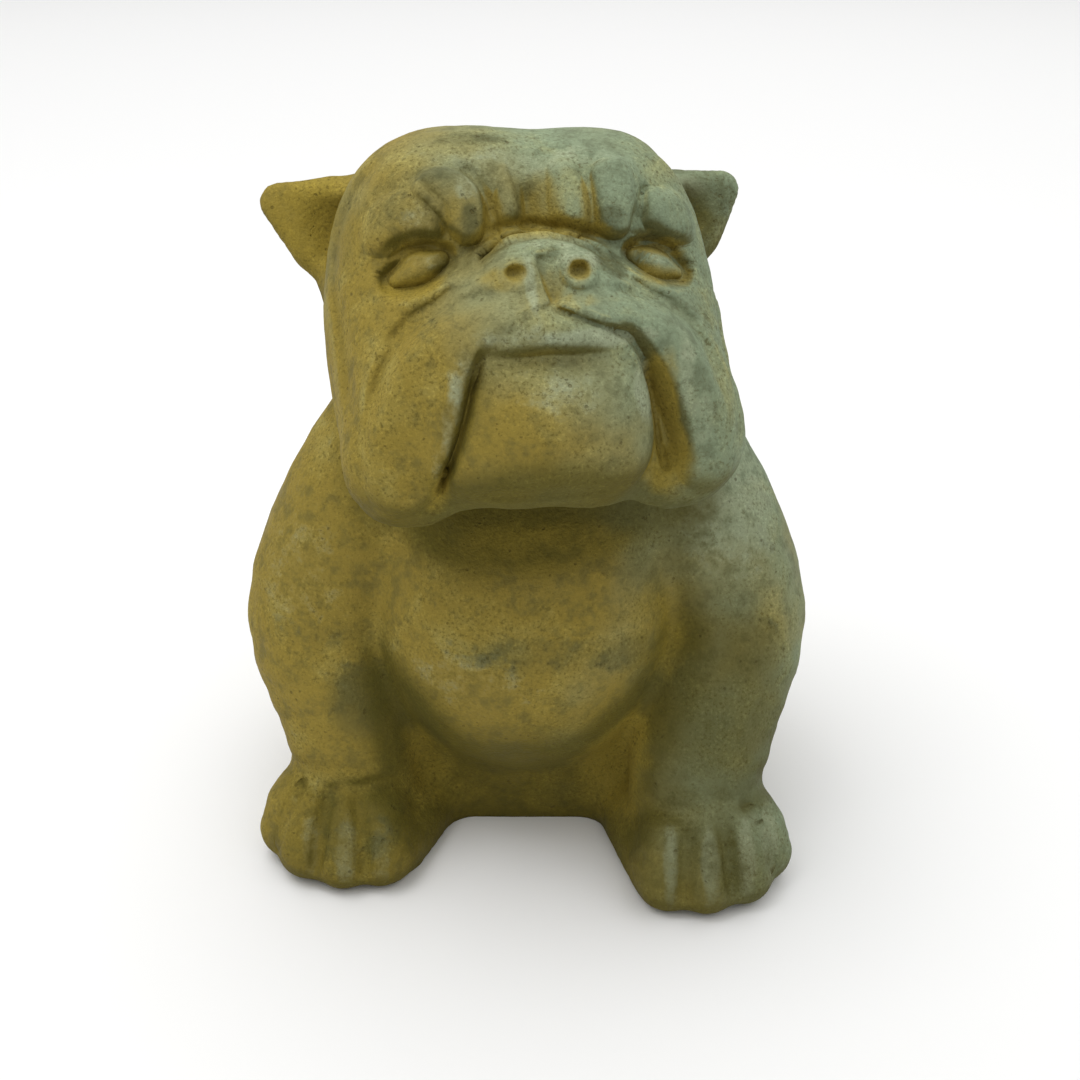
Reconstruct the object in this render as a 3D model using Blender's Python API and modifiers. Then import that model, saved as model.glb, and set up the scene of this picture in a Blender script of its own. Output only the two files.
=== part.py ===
"""Garden statue of a seated bulldog, cast in one piece of stone.

The dog faces -Y and +Z is up. The origin is on the ground, under the middle of the body.
All places and sizes of the figure are in modules: a module is about a hundredth of its height.
"""

import math

import bmesh
import bpy
import numpy as np
from mathutils import Matrix

# The statue's height in metres, and in modules from the ground to the top of its brow
STATUE_HEIGHT = 0.403
MODULES_TALL = 100.75
MODULE = STATUE_HEIGHT / MODULES_TALL

# The head in modules and degrees: it is turned to the dog's left and looks up
HEAD_AT = (0.0, -10.0, 78.0)
HEAD_TURN = 9.0
HEAD_LIFT = 20.0

# The dog's left forepaw stands this far ahead of the right one
LEFT_PAW_LEAD = 5.0

# How finely the form is modelled
CLAY_VOXEL = 0.85
CLAY_PASSES = 10
FIRST_FACET_COUNT = 17000
FACET_COUNT = 9400
FACE_FROM = 8.0

STONE_COLOUR = (0.235, 0.205, 0.085, 1.0)
STONE_ROUGHNESS = 0.85

LEFT, RIGHT = 1, -1
FAR = 1e3
FRONT_FADE = 2.5


# Forms: each gives the distance from points to a simple solid's surface, negative inside


def turned(axis_degrees):
    """Rotation matrix from degrees about X, then Y, then Z; its columns are the turned axes."""
    x, y, z = (math.radians(d) for d in axis_degrees)
    return np.array(
        Matrix.Rotation(z, 3, "Z") @ Matrix.Rotation(y, 3, "Y") @ Matrix.Rotation(x, 3, "X")
    )


class Egg:
    """An ellipsoid."""

    def __init__(self, at, half, turn=(0, 0, 0)):
        self.at = np.array(at, float)
        self.half = np.array(half, float)
        self.axes = turned(turn)
        self.reach = max(half)

    def distance(self, points):
        local = (points - self.at) @ self.axes / self.half
        outer = np.linalg.norm(local, axis=1)
        inner = np.linalg.norm(local / self.half, axis=1)
        return outer * (outer - 1) / np.maximum(inner, 1e-9)

    def balls(self):
        return [(self.at, self.half, self.axes)]


class Block:
    """A box with rounded edges."""

    def __init__(self, at, half, rounding, turn=(0, 0, 0)):
        self.at = np.array(at, float)
        self.half = np.array(half, float)
        self.rounding = rounding
        self.axes = turned(turn)
        self.reach = float(np.linalg.norm(half))

    def distance(self, points):
        over = np.abs((points - self.at) @ self.axes) - (self.half - self.rounding)
        outside = np.linalg.norm(np.maximum(over, 0), axis=1)
        inside = np.minimum(over.max(axis=1), 0)
        return outside + inside - self.rounding

    def balls(self):
        core = self.half - self.rounding
        corners = [(i, j, k) for i in (-1, 0, 1) for j in (-1, 0, 1) for k in (-1, 0, 1)]
        size = np.full(3, max(self.rounding, core.max() * 0.6))
        size = np.minimum(size, self.half)
        return [(self.at + self.axes @ (core * c * 0.8), size, self.axes) for c in corners]


class Limb:
    """A tube on a smooth curve through points, with a radius at each; squash flattens it."""

    def __init__(self, path, radii, squash=(1, 1, 1)):
        fine = smooth_curve(np.column_stack([np.array(path, float), radii]), 3)
        self.path = fine[:, :3]
        self.radii = fine[:, 3]
        self.squash = np.array(squash, float)
        self.at = (self.path.max(axis=0) + self.path.min(axis=0)) / 2
        self.reach = np.linalg.norm(np.ptp(self.path, axis=0)) / 2 + self.radii.max()

    def distance(self, points):
        scaled = points / self.squash
        path = self.path / self.squash
        best = np.full(len(points), FAR)
        for i in range(len(path) - 1):
            along = path[i + 1] - path[i]
            share = np.clip((scaled - path[i]) @ along / (along @ along), 0, 1)
            nearest = path[i] + share[:, None] * along
            radius = self.radii[i] + share * (self.radii[i + 1] - self.radii[i])
            best = np.minimum(best, np.linalg.norm(scaled - nearest, axis=1) - radius)
        return best * self.squash.min()

    def balls(self):
        found = []
        for i in range(len(self.path) - 1):
            for share in (0, 0.5, 1):
                centre = self.path[i] + share * (self.path[i + 1] - self.path[i])
                radius = self.radii[i] + share * (self.radii[i + 1] - self.radii[i])
                found.append((centre, radius * self.squash, np.eye(3)))
        return found


def smooth_curve(points, steps=4):
    """A Catmull-Rom curve through the points, as a finer polyline."""
    p = np.array(points, float)
    p = np.vstack([2 * p[0] - p[1], p, 2 * p[-1] - p[-2]])
    fine = []
    for i in range(1, len(p) - 2):
        for t in np.arange(steps) / steps:
            fine.append(
                0.5
                * (
                    2 * p[i]
                    + (p[i + 1] - p[i - 1]) * t
                    + (2 * p[i - 1] - 5 * p[i] + 4 * p[i + 1] - p[i + 2]) * t**2
                    + (3 * p[i] - p[i - 1] - 3 * p[i + 1] + p[i + 2]) * t**3
                )
            )
    fine.append(p[-2])
    return np.array(fine)


def along_path(points, path):
    """For each point: distance to the path, share of its length, and its side (+1 is left, in 2D)."""
    lengths = np.linalg.norm(np.diff(path, axis=0), axis=1)
    starts = np.concatenate([[0], np.cumsum(lengths)])
    distance = np.full(len(points), FAR)
    share = np.zeros(len(points))
    side = np.ones(len(points))
    for i in range(len(path) - 1):
        along = path[i + 1] - path[i]
        t = np.clip((points - path[i]) @ along / (along @ along), 0, 1)
        off = points - path[i] - t[:, None] * along
        d = np.linalg.norm(off, axis=1)
        closer = d < distance
        distance[closer] = d[closer]
        share[closer] = (starts[i] + t[closer] * lengths[i]) / starts[-1]
        if path.shape[1] == 2:
            side[closer] = np.sign(along[0] * off[closer, 1] - along[1] * off[closer, 0])
    return distance, share, side


def eased(t):
    """0 to 1 with soft ends."""
    t = np.clip(t, 0, 1)
    return t * t * (3 - 2 * t)


def tapered(share, ends):
    """1 along a stroke, falling to 0 over this share of it at each end."""
    return eased(np.minimum(share, 1 - share) / ends)


class Clay:
    """The form as a field over points: what is added, cut away and drawn in its surface."""

    def __init__(self, points):
        self.points = points
        self.depth = np.full(len(points), FAR)

    def near(self, form, margin):
        gap = np.linalg.norm(self.points - form.at, axis=1)
        return np.flatnonzero(gap < form.reach + margin)

    def add(self, *forms, soft):
        """Joins forms on, with a fillet about as wide as soft."""
        for form in forms:
            near = self.near(form, soft + 6)
            here = form.distance(self.points[near])
            self.depth[near] = self.soft_min(self.depth[near], here, soft)

    def cut(self, *forms, soft):
        for form in forms:
            near = self.near(form, soft + 2)
            here = form.distance(self.points[near])
            self.depth[near] = -self.soft_min(-self.depth[near], here, soft)

    @staticmethod
    def soft_min(a, b, soft):
        overlap = np.maximum(soft - np.abs(a - b), 0) / soft
        return np.minimum(a, b) - overlap**2 * soft / 4

    def on_front(self, path, margin, behind):
        """The points before this depth and over the path's box, and how fully each counts as front."""
        across_up, forward = self.points[:, :2], self.points[:, 2]
        inside = (across_up > path.min(axis=0) - margin) & (across_up < path.max(axis=0) + margin)
        near = np.flatnonzero(inside.all(axis=1) & (forward > behind - FRONT_FADE))
        return near, eased((forward[near] - behind) / FRONT_FADE + 1)

    def groove(self, path, width, depth, ends=0.25):
        """A rounded groove along a path in space; a negative depth is a ridge."""
        fine = smooth_curve(path)
        low, high = fine.min(axis=0) - 3 * width, fine.max(axis=0) + 3 * width
        near = np.flatnonzero(((self.points > low) & (self.points < high)).all(axis=1))
        distance, share, _ = along_path(self.points[near], fine)
        self.depth[near] += depth * tapered(share, ends) * np.exp(-((distance / width) ** 2))

    def scored(self, path, width, depth, behind, ends=0.25, widening=1.0, right_width=None):
        """A groove drawn on the front of the head, along (across, up); its right slope may differ."""
        fine = smooth_curve(path)
        right_width = right_width or width
        margin = 3 * max(width, right_width) * max(widening, 1)
        near, front = self.on_front(fine, margin, behind)
        distance, share, side = along_path(self.points[near, :2], fine)
        spread = np.where(side > 0, width, right_width) * (1 + (widening - 1) * share)
        self.depth[near] += depth * front * tapered(share, ends) * np.exp(-((distance / spread) ** 2))

    def lapped(self, path, rise, spread, behind, edge=0.35, ends=0.2):
        """A fold drawn on the front: it stands up on the left of the path, and sinks on its right."""
        fine = smooth_curve(path)
        near, front = self.on_front(fine, 3 * spread, behind)
        distance, share, side = along_path(self.points[near, :2], fine)
        offset = distance * side / edge
        step = offset / np.sqrt(1 + offset**2) * np.exp(-((distance / spread) ** 2))
        self.depth[near] -= rise * front * tapered(share, ends) * step

    def padded(self, path, radii, height, edge, behind, start=0.0):
        """A lobe raised on the front, that climbs to its height over this edge within its outline.

        Over the first share of its path, given as start, it rises from nothing.
        """
        fine = smooth_curve(np.column_stack([np.array(path, float), radii]))
        near, front = self.on_front(fine[:, :2], max(radii), behind)
        points = self.points[near, :2]
        if start:
            front = front * eased(along_path(points, fine[:, :2])[1] / start)
        inside = np.full(len(points), -FAR)
        for i in range(len(fine) - 1):
            begin, along = fine[i, :2], fine[i + 1, :2] - fine[i, :2]
            t = np.clip((points - begin) @ along / (along @ along), 0, 1)
            radius = fine[i, 2] + t * (fine[i + 1, 2] - fine[i, 2])
            gap = np.linalg.norm(points - begin - t[:, None] * along, axis=1)
            inside = np.maximum(inside, radius - gap)
        climb = np.clip(inside / edge, 0, 1)
        self.depth[near] -= height * front * climb * (2 - climb)


# The figure


def mirrored(points, side):
    """The same points on the dog's left (+1) or right (-1)."""
    return [(side * p[0], *p[1:]) for p in points]


def trunk_forms():
    """The belly, neck and back, down to the ground."""
    return [
        Egg((0, 3, 34), (29, 23, 32)),
        Egg((0, 0, 60), (22, 16, 17)),
        Limb([(0, 8, 64), (0, 17, 48), (0, 22, 32)], [14, 17, 18]),
        Egg((0, 14, 22), (26, 22, 25)),
        Block((0, 8, 7), (20, 21, 13), 4),
    ]


def chest_forms():
    """The breast under the throat, and the deep keel between the forelegs."""
    return Egg((0, -5, 50), (24, 15, 17)), Egg((-0.4, -11.3, 34.4), (20.8, 16.2, 22.7))


def haunch_forms(side):
    """The folded hind leg, with its foot beside the foreleg."""
    return [
        Egg((side * 20, 13, 18), (13.5, 18, 18), (0, 0, side * -10)),
        Limb(mirrored([(25, 8, 4), (25, -2, 4), (26, -8, 3.6)], side), [5.5, 5.5, 4.6]),
    ]


def paw_lead(side):
    return LEFT_PAW_LEAD if side == LEFT else 0.0


def paw_tuck(side):
    """How much nearer to the middle the paw stands."""
    return 1.3 if side == LEFT else 0.3


def foreleg_form(side):
    """The whole leg from beside the neck to the wrist."""
    lead, tuck = paw_lead(side), paw_tuck(side)
    path = [
        (13, 1, 60),
        (21.5, -3, 47),
        (27.4, -6.6, 32.6),
        (25.9 - tuck / 2, -12 - 0.4 * lead, 20.8),
        (25 - tuck, -15 - 0.8 * lead, 11),
    ]
    slim = 0.0 if side == LEFT else 0.6
    return Limb(mirrored(path, side), [12.5, 13.0, 12.4, 10.7 - slim, 9.0 - slim])


# The toes from the outside in: where the tip is, its height and its radius
TOES = [
    (34.2, -20.4, 5.0, 4.7),
    (31.4, -24.6, 4.4, 4.5),
    (26.0, -26.6, 3.9, 4.3),
    (20.3, -26.0, 3.9, 4.3),
]


def paw_forms(side):
    """The pad, and four toes that fan out from the wrist, each with a raised knuckle."""
    lead, tuck = paw_lead(side), paw_tuck(side)
    wrist = np.array([25.5 - tuck, -13.5 - lead, 8.8])
    inner = [(16.5, -9, 2), (18.2, -15 - lead / 2, 2.5), (20.5, -21 - lead, 3)]
    pads = [
        Egg((side * 26, -16 - lead, 3.5), (10.5, 9, 7.5)),
        Limb(mirrored(inner, side), [7, 6, 5]),
    ]
    toes = []
    for x, y, z, radius in TOES:
        tip = np.array([x - tuck, y - lead, z])
        knuckle = wrist + (tip - wrist) * (0.74, 0.68, 0)
        knuckle[2] = z + 3.7
        path = mirrored([wrist, knuckle, tip], side)
        toes.append(Limb(path, [5.2, radius * 1.08, radius * 0.95]))
    return pads, toes


def tail_form():
    return Limb([(0, 32, 13), (2.5, 36.5, 12), (4.5, 36.5, 16)], [5, 3.6, 2.6])


def body_depth(points):
    clay = Clay(points)
    clay.add(*trunk_forms(), soft=9)
    for side in (LEFT, RIGHT):
        clay.add(*haunch_forms(side), soft=5)
    breast, keel = chest_forms()
    clay.add(breast, soft=6)
    clay.add(keel, soft=4)
    for side in (LEFT, RIGHT):
        clay.add(foreleg_form(side), soft=2)
        pads, toes = paw_forms(side)
        clay.add(*pads, soft=3)
        for toe in toes:
            clay.add(toe, soft=1.1)
    clay.add(tail_form(), soft=3)
    for side in (LEFT, RIGHT):
        wrist_and_toes(clay, side)
    return clay.depth


def wrist_and_toes(clay, side):
    """The fold across the front of the wrist, and the grooves between the toes."""
    lead, tuck = paw_lead(side), paw_tuck(side)
    fold = [(15.5, -17, 11.5), (20, -22.5, 14), (26, -24.5, 14.6), (32, -21.5, 14), (36, -15, 13)]
    clay.groove([(side * x, y - lead, z) for x, y, z in fold], width=1.1, depth=0.8)
    wrist = (25.5 - tuck, -13.5 - lead)
    for a, b in zip(TOES, TOES[1:]):
        x, y = (a[0] + b[0]) / 2 - tuck, (a[1] + b[1]) / 2 - lead
        line = [
            (side * (wrist[0] + (x - wrist[0]) * share), wrist[1] + (y - wrist[1]) * share, z)
            for share, z in ((0.55, 12.4), (0.8, 11.0), (1.02, 7.5), (1.15, 2.0))
        ]
        clay.groove(line, width=1.0, depth=1.9)


# The head, in its own frame: across to the dog's left, up, and forward out of the face


def head_frame():
    """The head's origin and its axes as columns: across, up, forward."""
    turn, lift = math.radians(HEAD_TURN), math.radians(HEAD_LIFT)
    forward = np.array(
        [math.sin(turn) * math.cos(lift), -math.cos(turn) * math.cos(lift), math.sin(lift)]
    )
    across = np.array([math.cos(turn), math.sin(turn), 0.0])
    up = np.cross(forward, across)
    return np.array(HEAD_AT), np.column_stack([across, up, forward])


def skull_forms():
    """The skull with the brow's two bumps, the cheeks and the short muzzle."""
    forms = [
        Block((-0.5, 0.9, -4.5), (22.9, 19.9, 16.8), 13),
        Egg((0, -3, 7.5), (16.5, 12, 12.5)),
        Egg((0, 12.6, 0.5), (9, 8.8, 10.5)),
    ]
    for side, brow_up, brow_wide in ((LEFT, 12.7, 10.4), (RIGHT, 13.3, 11.2)):
        forms.append(Egg((side * 8.8, brow_up, 1.5), (brow_wide, 9.2, 11.8)))
        forms.append(Egg((side * 13.6, -6.5, 3), (10.6, 15, 12.4)))
        forms.append(Egg((side * 14.4 - 0.3, 2, -2), (8.9, 12, 12)))
    return forms


def jowl_form(side):
    """The hanging upper lip, from beside the nose down to its heavy end."""
    out = 0.6 if side == LEFT else 0.0
    path = [
        (0.2, 1.9, 17.0),
        (3.6, 1.0, 17.0),
        (7.5, -1.0, 16.4),
        (12.3 + out, -5.2, 14.4),
        (15.8 + out, -10.5, 12.4),
        (17.2 + out / 2, -16 + out, 11.0),
        (16.8, -18.0 + out, 11.0),
    ]
    return Limb(mirrored(path, side), [3.2, 4.0, 5.0, 5.9, 6.7, 7.0, 6.6])


def cheek_form(side):
    """What fills the cheek outside the jowl."""
    path = [(9.0, 0.6, 11.6), (13.6, -2.0, 10.8), (16.8, -6.4, 8.8), (18.2, -12.0, 6.6)]
    return Limb(mirrored(path, side), [4.2, 4.6, 5.0, 5.0])


def chin_forms():
    """A boxy chin with a cushioned front."""
    return [
        Block((-1.0, -12.6, 12.2), (13.0, 8.9, 10.6), 6.0, (0, -5, 0)),
        Egg((-0.6, -12.4, 12.2), (12.4, 10.0, 12.8)),
    ]


def throat_fold_form():
    """The roll under the chin that joins the ends of the jowls."""
    path = [
        (-14, -19.8, 11.5),
        (-9, -19.3, 13.5),
        (-4.5, -19.2, 14.6),
        (0, -18.8, 14.6),
        (4.8, -20.5, 14.6),
        (9, -20.0, 13.5),
        (14, -20.0, 11.5),
    ]
    return Limb(path, [3.6, 2.7, 2.4, 2.3, 2.5, 2.6, 3.6])


def lip_form():
    """The lower lip, a roll along the top of the chin."""
    path = [
        (-8.2, -4.0, 19.6),
        (-4.5, -2.3, 21.2),
        (0, -2.1, 21.8),
        (4.5, -3.0, 21.4),
        (8.3, -5.0, 19.6),
    ]
    return Limb(path, [2.5, 2.8, 2.7, 2.5, 2.0])


def nose_form():
    return Egg((0, 4.4, 15.2), (8.0, 4.4, 5.0))


def ear_forms(side):
    """A small ear that stands out sideways, and the hollow in its front."""
    flap = [(21, 11.4, -8), (25.6, 13.6, -8), (29.4, 15.7, -8)]
    hollow = [(23, 12.2, -4.4), (26.4, 14, -4.6), (29, 15.6, -5.4)]
    if side == LEFT:
        flap = [(20.4, 10.6, -8), (24.7, 12.9, -8), (28.1, 15.1, -8)]
        hollow = [(22.2, 11.5, -4.4), (25.2, 13.3, -4.6), (27.7, 14.9, -5.4)]
    return (
        Limb(mirrored(flap, side), [7.6, 4.8, 2.5], (1, 1, 0.5)),
        Limb(mirrored(hollow, side), [3.6, 2.4, 1.0], (1, 1, 0.7)),
    )


def head_depth(points):
    origin, axes = head_frame()
    local = (points - origin) @ axes
    clay = Clay(local)
    clay.add(*skull_forms(), soft=4.5)
    for side in (LEFT, RIGHT):
        flap, hollow = ear_forms(side)
        clay.add(flap, soft=3)
        clay.cut(hollow, soft=1.2)
    forehead(clay)
    for side in (LEFT, RIGHT):
        eye(clay, side)
    for side in (LEFT, RIGHT):
        clay.add(cheek_form(side), soft=4)
    clay.add(throat_fold_form(), soft=2.5)
    clay.add(*chin_forms(), soft=2.4)
    clay.add(lip_form(), soft=2.6)
    for side in (LEFT, RIGHT):
        clay.add(jowl_form(side), soft=2.8)
    clay.add(nose_form(), soft=1.4)
    for side in (LEFT, RIGHT):
        cheek(clay, side)
    muzzle(clay)
    return clay.depth


def forehead(clay):
    """The lobes of the frown, which differ from side to side, and the furrow between them."""
    lobe_a = [(-12.8, 14.8), (-11.0, 14.6), (-9.1, 13.2), (-8.2, 10.9), (-7.8, 9.6)]
    lobe_b = [(-17.8, 9.6), (-16.0, 11.2), (-13.8, 11.4), (-12.2, 10.2)]
    clay.padded(lobe_a, [1.5, 2.5, 2.9, 2.4, 1.8], 2.0, 1.2, behind=6)
    clay.padded(lobe_b, [2.6, 3.3, 3.1, 1.8], 1.3, 2.6, behind=6)
    clay.padded([(-3.3, 16.5), (-3.2, 13.0), (-3.0, 9.8)], [0.8, 1.4, 1.5], 1.1, 1.4, behind=6)
    clay.padded([(3.6, 16.0), (4.0, 12.0), (4.2, 10.2)], [2.0, 2.4, 2.1], 1.1, 2.0, behind=6)
    clay.padded([(9.2, 15.0), (9.2, 12.5), (9.0, 10.0)], [2.6, 2.5, 2.2], 1.6, 1.2, behind=6)
    clay.padded([(14.8, 11.2), (16.6, 10.6), (18.2, 9.4)], [2.8, 3.3, 2.4], 1.6, 2.4, behind=6)
    between_lobes = [(-14.2, 16.0), (-12.6, 14.8), (-11.1, 12.8), (-10.1, 10.9), (-9.4, 9.4)]
    clay.scored(between_lobes, width=0.7, depth=1.1, behind=6)
    beside_lobe = [(-9.0, 17.4), (-6.9, 15.6), (-5.7, 13.2), (-5.2, 11.3), (-5.0, 9.6)]
    clay.scored(beside_lobe, width=1.0, depth=0.9, behind=6, right_width=0.6)
    furrow = [(-0.6, 8.2), (-0.7, 10.4), (-0.8, 12.4), (-0.9, 14.4), (-1.0, 16.2)]
    clay.scored(furrow, width=0.8, depth=1.6, behind=6, ends=0.45, right_width=2.1)
    nose_top = [(-6.8, 9.2), (-1.6, 10.0), (1.5, 9.6), (4.9, 8.9), (9.2, 7.4)]
    clay.scored(nose_top, width=0.8, depth=1.2, behind=8)
    crest = [(7.2, 17.6), (10.2, 17.7), (12.4, 16.3), (11.9, 14), (11.6, 12), (11.4, 9.2)]
    clay.scored(crest, width=0.6, depth=-0.7, behind=6)
    clay.scored([(13.4, 14.5), (12.8, 12.0), (12.4, 9.4)], width=0.7, depth=0.7, behind=6)


EYE_LINE = [(16.8, 3.9), (14.2, 5.1), (11.5, 6.1)]


def eye(clay, side):
    """An almond ball in a shallow socket, under a heavy upper lid and the brow's fold."""
    shift = (0.0, 0.0) if side == LEFT else (-0.4, 0.6)
    line = mirrored([(x + shift[0], y + shift[1]) for x, y in EYE_LINE], side)
    clay.padded(line, [2.2, 3.2, 2.0], -1.5 if side == LEFT else -1.2, 1.4, behind=6)
    clay.padded(line, [0.9, 1.9, 1.0], 2.3, 1.7, behind=6)
    upper_lid = [(18.8, 4.6), (17.0, 6.4), (14.2, 7.5), (11.4, 7.6), (9.6, 6.8)]
    clay.scored(mirrored(upper_lid, side), width=0.6, depth=-0.45, behind=5, ends=0.3)
    brow_fold = [(19.2, 6.4), (17.0, 8.3), (14.0, 9.2), (10.8, 8.9)]
    if side == LEFT:
        brow_fold = [(19.4, 6.6), (17.4, 7.8), (14.6, 8.5), (12.0, 8.6), (9.8, 8.4)]
    deep = 1.2 if side == LEFT else 0.7
    clay.scored(mirrored(brow_fold, side), width=0.7, depth=deep, behind=5, ends=0.3)
    lower_lid = [(18.4, 1.8), (15.2, 1.6), (12.4, 2.8), (9.8, 4.6)]
    clay.scored(mirrored(lower_lid, side), width=0.7, depth=-0.5, behind=5)


def cheek(clay, side):
    """The folds that run down from beside the nose, and the line round the side of the face."""
    under_eye = [(7.9, 4.6), (9.4, 3.4), (11.9, 1.9), (14.7, 0.4), (17.2, -1.8), (18.9, -4.2)]
    clay.scored(mirrored(under_eye, side), width=0.7, depth=0.55, behind=6)
    jowl_edge = [(3.4, 2.5), (8.9, 1.6), (12.8, 0.1), (16.2, -2.4), (18.6, -5.6), (20.0, -9.6), (20.6, -13.4)]
    clay.scored(mirrored(jowl_edge, side), width=0.7, depth=0.7, behind=6)
    temple = [(12.2, 20.1), (17.5, 18.0), (21.4, 13.0), (23.3, 5.5), (22.9, -2.0), (22.6, -10.0)]
    temple.append((22.2, -16.0))
    clay.scored(mirrored(temple, side), width=0.8, depth=0.6, behind=-4)


def nostril(clay, side):
    """A pit in a low rim; the rim stands up more on the dog's left."""
    x, y = side * 3.6, 4.3
    rim, hole = (0.8, 1.25) if side == LEFT else (0.25, 1.05)
    clay.padded([(x - 0.1, y), (x + 0.1, y)], [2.3, 2.3], rim, 0.9, behind=12)
    clay.padded([(x - 0.2, y), (x + 0.2, y)], [hole, hole], -1.7 * hole, 0.9, behind=12)


def muzzle(clay):
    """The nostrils, the arch over the nose, the split lip and the mouth."""
    for side in (LEFT, RIGHT):
        nostril(clay, side)
    half = [(7.9, 4.2), (6.7, 6.0), (4.9, 7.2), (2.8, 8.0)]
    arch = mirrored(half, RIGHT) + [(0, 8.4)] + half[::-1]
    clay.scored(arch, width=0.6, depth=0.6, behind=8, ends=0.12)
    clay.scored([(x * 1.14, y + 1.0) for x, y in arch], width=0.6, depth=-0.35, behind=8, ends=0.15)
    parting = [(-1.3, 6.4), (-0.9, 4.0), (-0.5, 2.2), (0.0, 0.4)]
    clay.lapped(parting, rise=-0.8, spread=2.0, behind=12, edge=0.35, ends=0.15)
    plate = [(4.5, -0.2), (9.2, -1.7), (13.2, -5.2), (15.6, -10.2), (17.1, -15.4), (17.3, -18.0)]
    width = [1.6, 3.1, 4.3, 4.8, 4.7, 4.6]
    clay.padded(mirrored(plate, RIGHT), width, 1.2, 2.0, behind=6, start=0.4)
    slimmer = [r * 0.9 for r in width]
    clay.padded([(x + 1.2, y) for x, y in plate], slimmer, 1.0, 3.0, behind=6, start=0.3)
    mouth_sides(clay)


def mouth_sides(clay):
    """The lip overhangs the mouth on the dog's right, and a wide channel opens on its left."""
    edge = [(-5.6, -2.2), (-8.2, -3.8), (-9.6, -7.6), (-11.0, -11.8), (-12.4, -16.0), (-13.9, -20.0)]
    clay.scored(edge, width=1.3, depth=1.1, behind=9, ends=0.16, right_width=0.9)
    soft_lip = [(-0.4, 0.6), (-3.0, -0.3), (-5.6, -1.9), (-7.6, -3.4)]
    clay.lapped(soft_lip, rise=-0.45, spread=1.6, behind=12, edge=0.5, ends=0.3)
    lip_line = [(-0.2, 0.7), (1.4, -0.3), (4.2, -1.4), (6.8, -2.4), (8.6, -3.5)]
    clay.lapped(lip_line, rise=0.6, spread=1.8, behind=12, edge=0.4, ends=0.12)
    clay.scored(lip_line, width=0.8, depth=0.4, behind=12, ends=0.2)
    channel = [(5.6, -1.9), (8.6, -3.2), (11.2, -7.0), (12.9, -11.2), (14.1, -15.6), (14.7, -19.4)]
    clay.scored(channel, width=1.1, depth=1.5, behind=8, ends=0.14, widening=1.6, right_width=0.8)
    clay.scored([(14.2, -15.8), (14.8, -19.6)], width=0.8, depth=1.2, behind=8)
    clay.scored([(-12.9, -16.8), (-14.1, -20.2)], width=0.8, depth=0.6, behind=8)
    under_chin = [(-11.5, -19.6), (-6.0, -20.4), (0.0, -20.6), (5.0, -20.4), (8.8, -19.4), (10.8, -17.0)]
    clay.scored(under_chin, width=0.7, depth=0.5, behind=13)
    under_lip = [(-9.2, -4.6), (-4.8, -4.9), (0.0, -4.9), (4.8, -5.0), (9.6, -5.2)]
    clay.scored(under_lip, width=0.8, depth=0.35, behind=13, ends=0.1, right_width=1.3)


def statue_depth(points):
    """Depth of the whole statue at points given in modules."""
    depth = body_depth(points)
    near = np.flatnonzero(np.linalg.norm(points - HEAD_AT, axis=1) < 50)
    depth[near] = Clay.soft_min(depth[near], head_depth(points[near]), 2.5)
    return depth


# From the field to a mesh


def blockout():
    """Spheres for every form of the figure, welded into one skin by a voxel remesh."""
    origin, axes = head_frame()
    body = [*trunk_forms(), *chest_forms(), tail_form()]
    head = [*skull_forms(), *chin_forms(), throat_fold_form(), lip_form(), nose_form()]
    for side in (LEFT, RIGHT):
        pads, toes = paw_forms(side)
        body += [*haunch_forms(side), foreleg_form(side), *pads, *toes]
        head += [jowl_form(side), cheek_form(side), ear_forms(side)[0]]
    balls = [ball for form in body for ball in form.balls()]
    for form in head:
        for centre, half, turn in form.balls():
            balls.append((origin + axes @ centre, half, axes @ turn))

    ball, faces = unit_ball()
    corners = [np.array(centre) + (ball * half) @ turn.T for centre, half, turn in balls]
    sides = [faces + len(ball) * i for i in range(len(balls))]
    mesh = bpy.data.meshes.new("blockout")
    mesh.from_pydata(np.vstack(corners).tolist(), [], np.vstack(sides).tolist())
    return remeshed(mesh, CLAY_VOXEL)


def unit_ball():
    """Corners and triangles of a ball of radius 1."""
    bm = bmesh.new()
    bmesh.ops.create_icosphere(bm, subdivisions=3, radius=1.0)
    corners = np.array([v.co for v in bm.verts])
    faces = np.array([[v.index for v in f.verts] for f in bm.faces])
    bm.free()
    return corners, faces


def remeshed(mesh, voxel):
    """The mesh welded into one even skin."""
    holder = bpy.data.objects.new("holder", mesh)
    bpy.context.scene.collection.objects.link(holder)
    remesh = holder.modifiers.new("Remesh", "REMESH")
    remesh.mode = "VOXEL"
    remesh.voxel_size = voxel
    skin = evaluated_mesh(holder)
    bpy.data.objects.remove(holder)
    return skin


def evaluated_mesh(holder):
    graph = bpy.context.evaluated_depsgraph_get()
    graph.update()
    return bpy.data.meshes.new_from_object(holder.evaluated_get(graph))


def corner_array(mesh):
    corners = np.empty(len(mesh.vertices) * 3)
    mesh.vertices.foreach_get("co", corners)
    return corners.reshape(-1, 3)


def relaxed(corners, edges, amount):
    """Each corner moved towards the middle of its neighbours."""
    total = np.zeros_like(corners)
    count = np.zeros(len(corners))
    for a, b in ((0, 1), (1, 0)):
        np.add.at(total, edges[:, a], corners[edges[:, b]])
        np.add.at(count, edges[:, a], 1)
    return corners + amount * (total / count[:, None] - corners)


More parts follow.
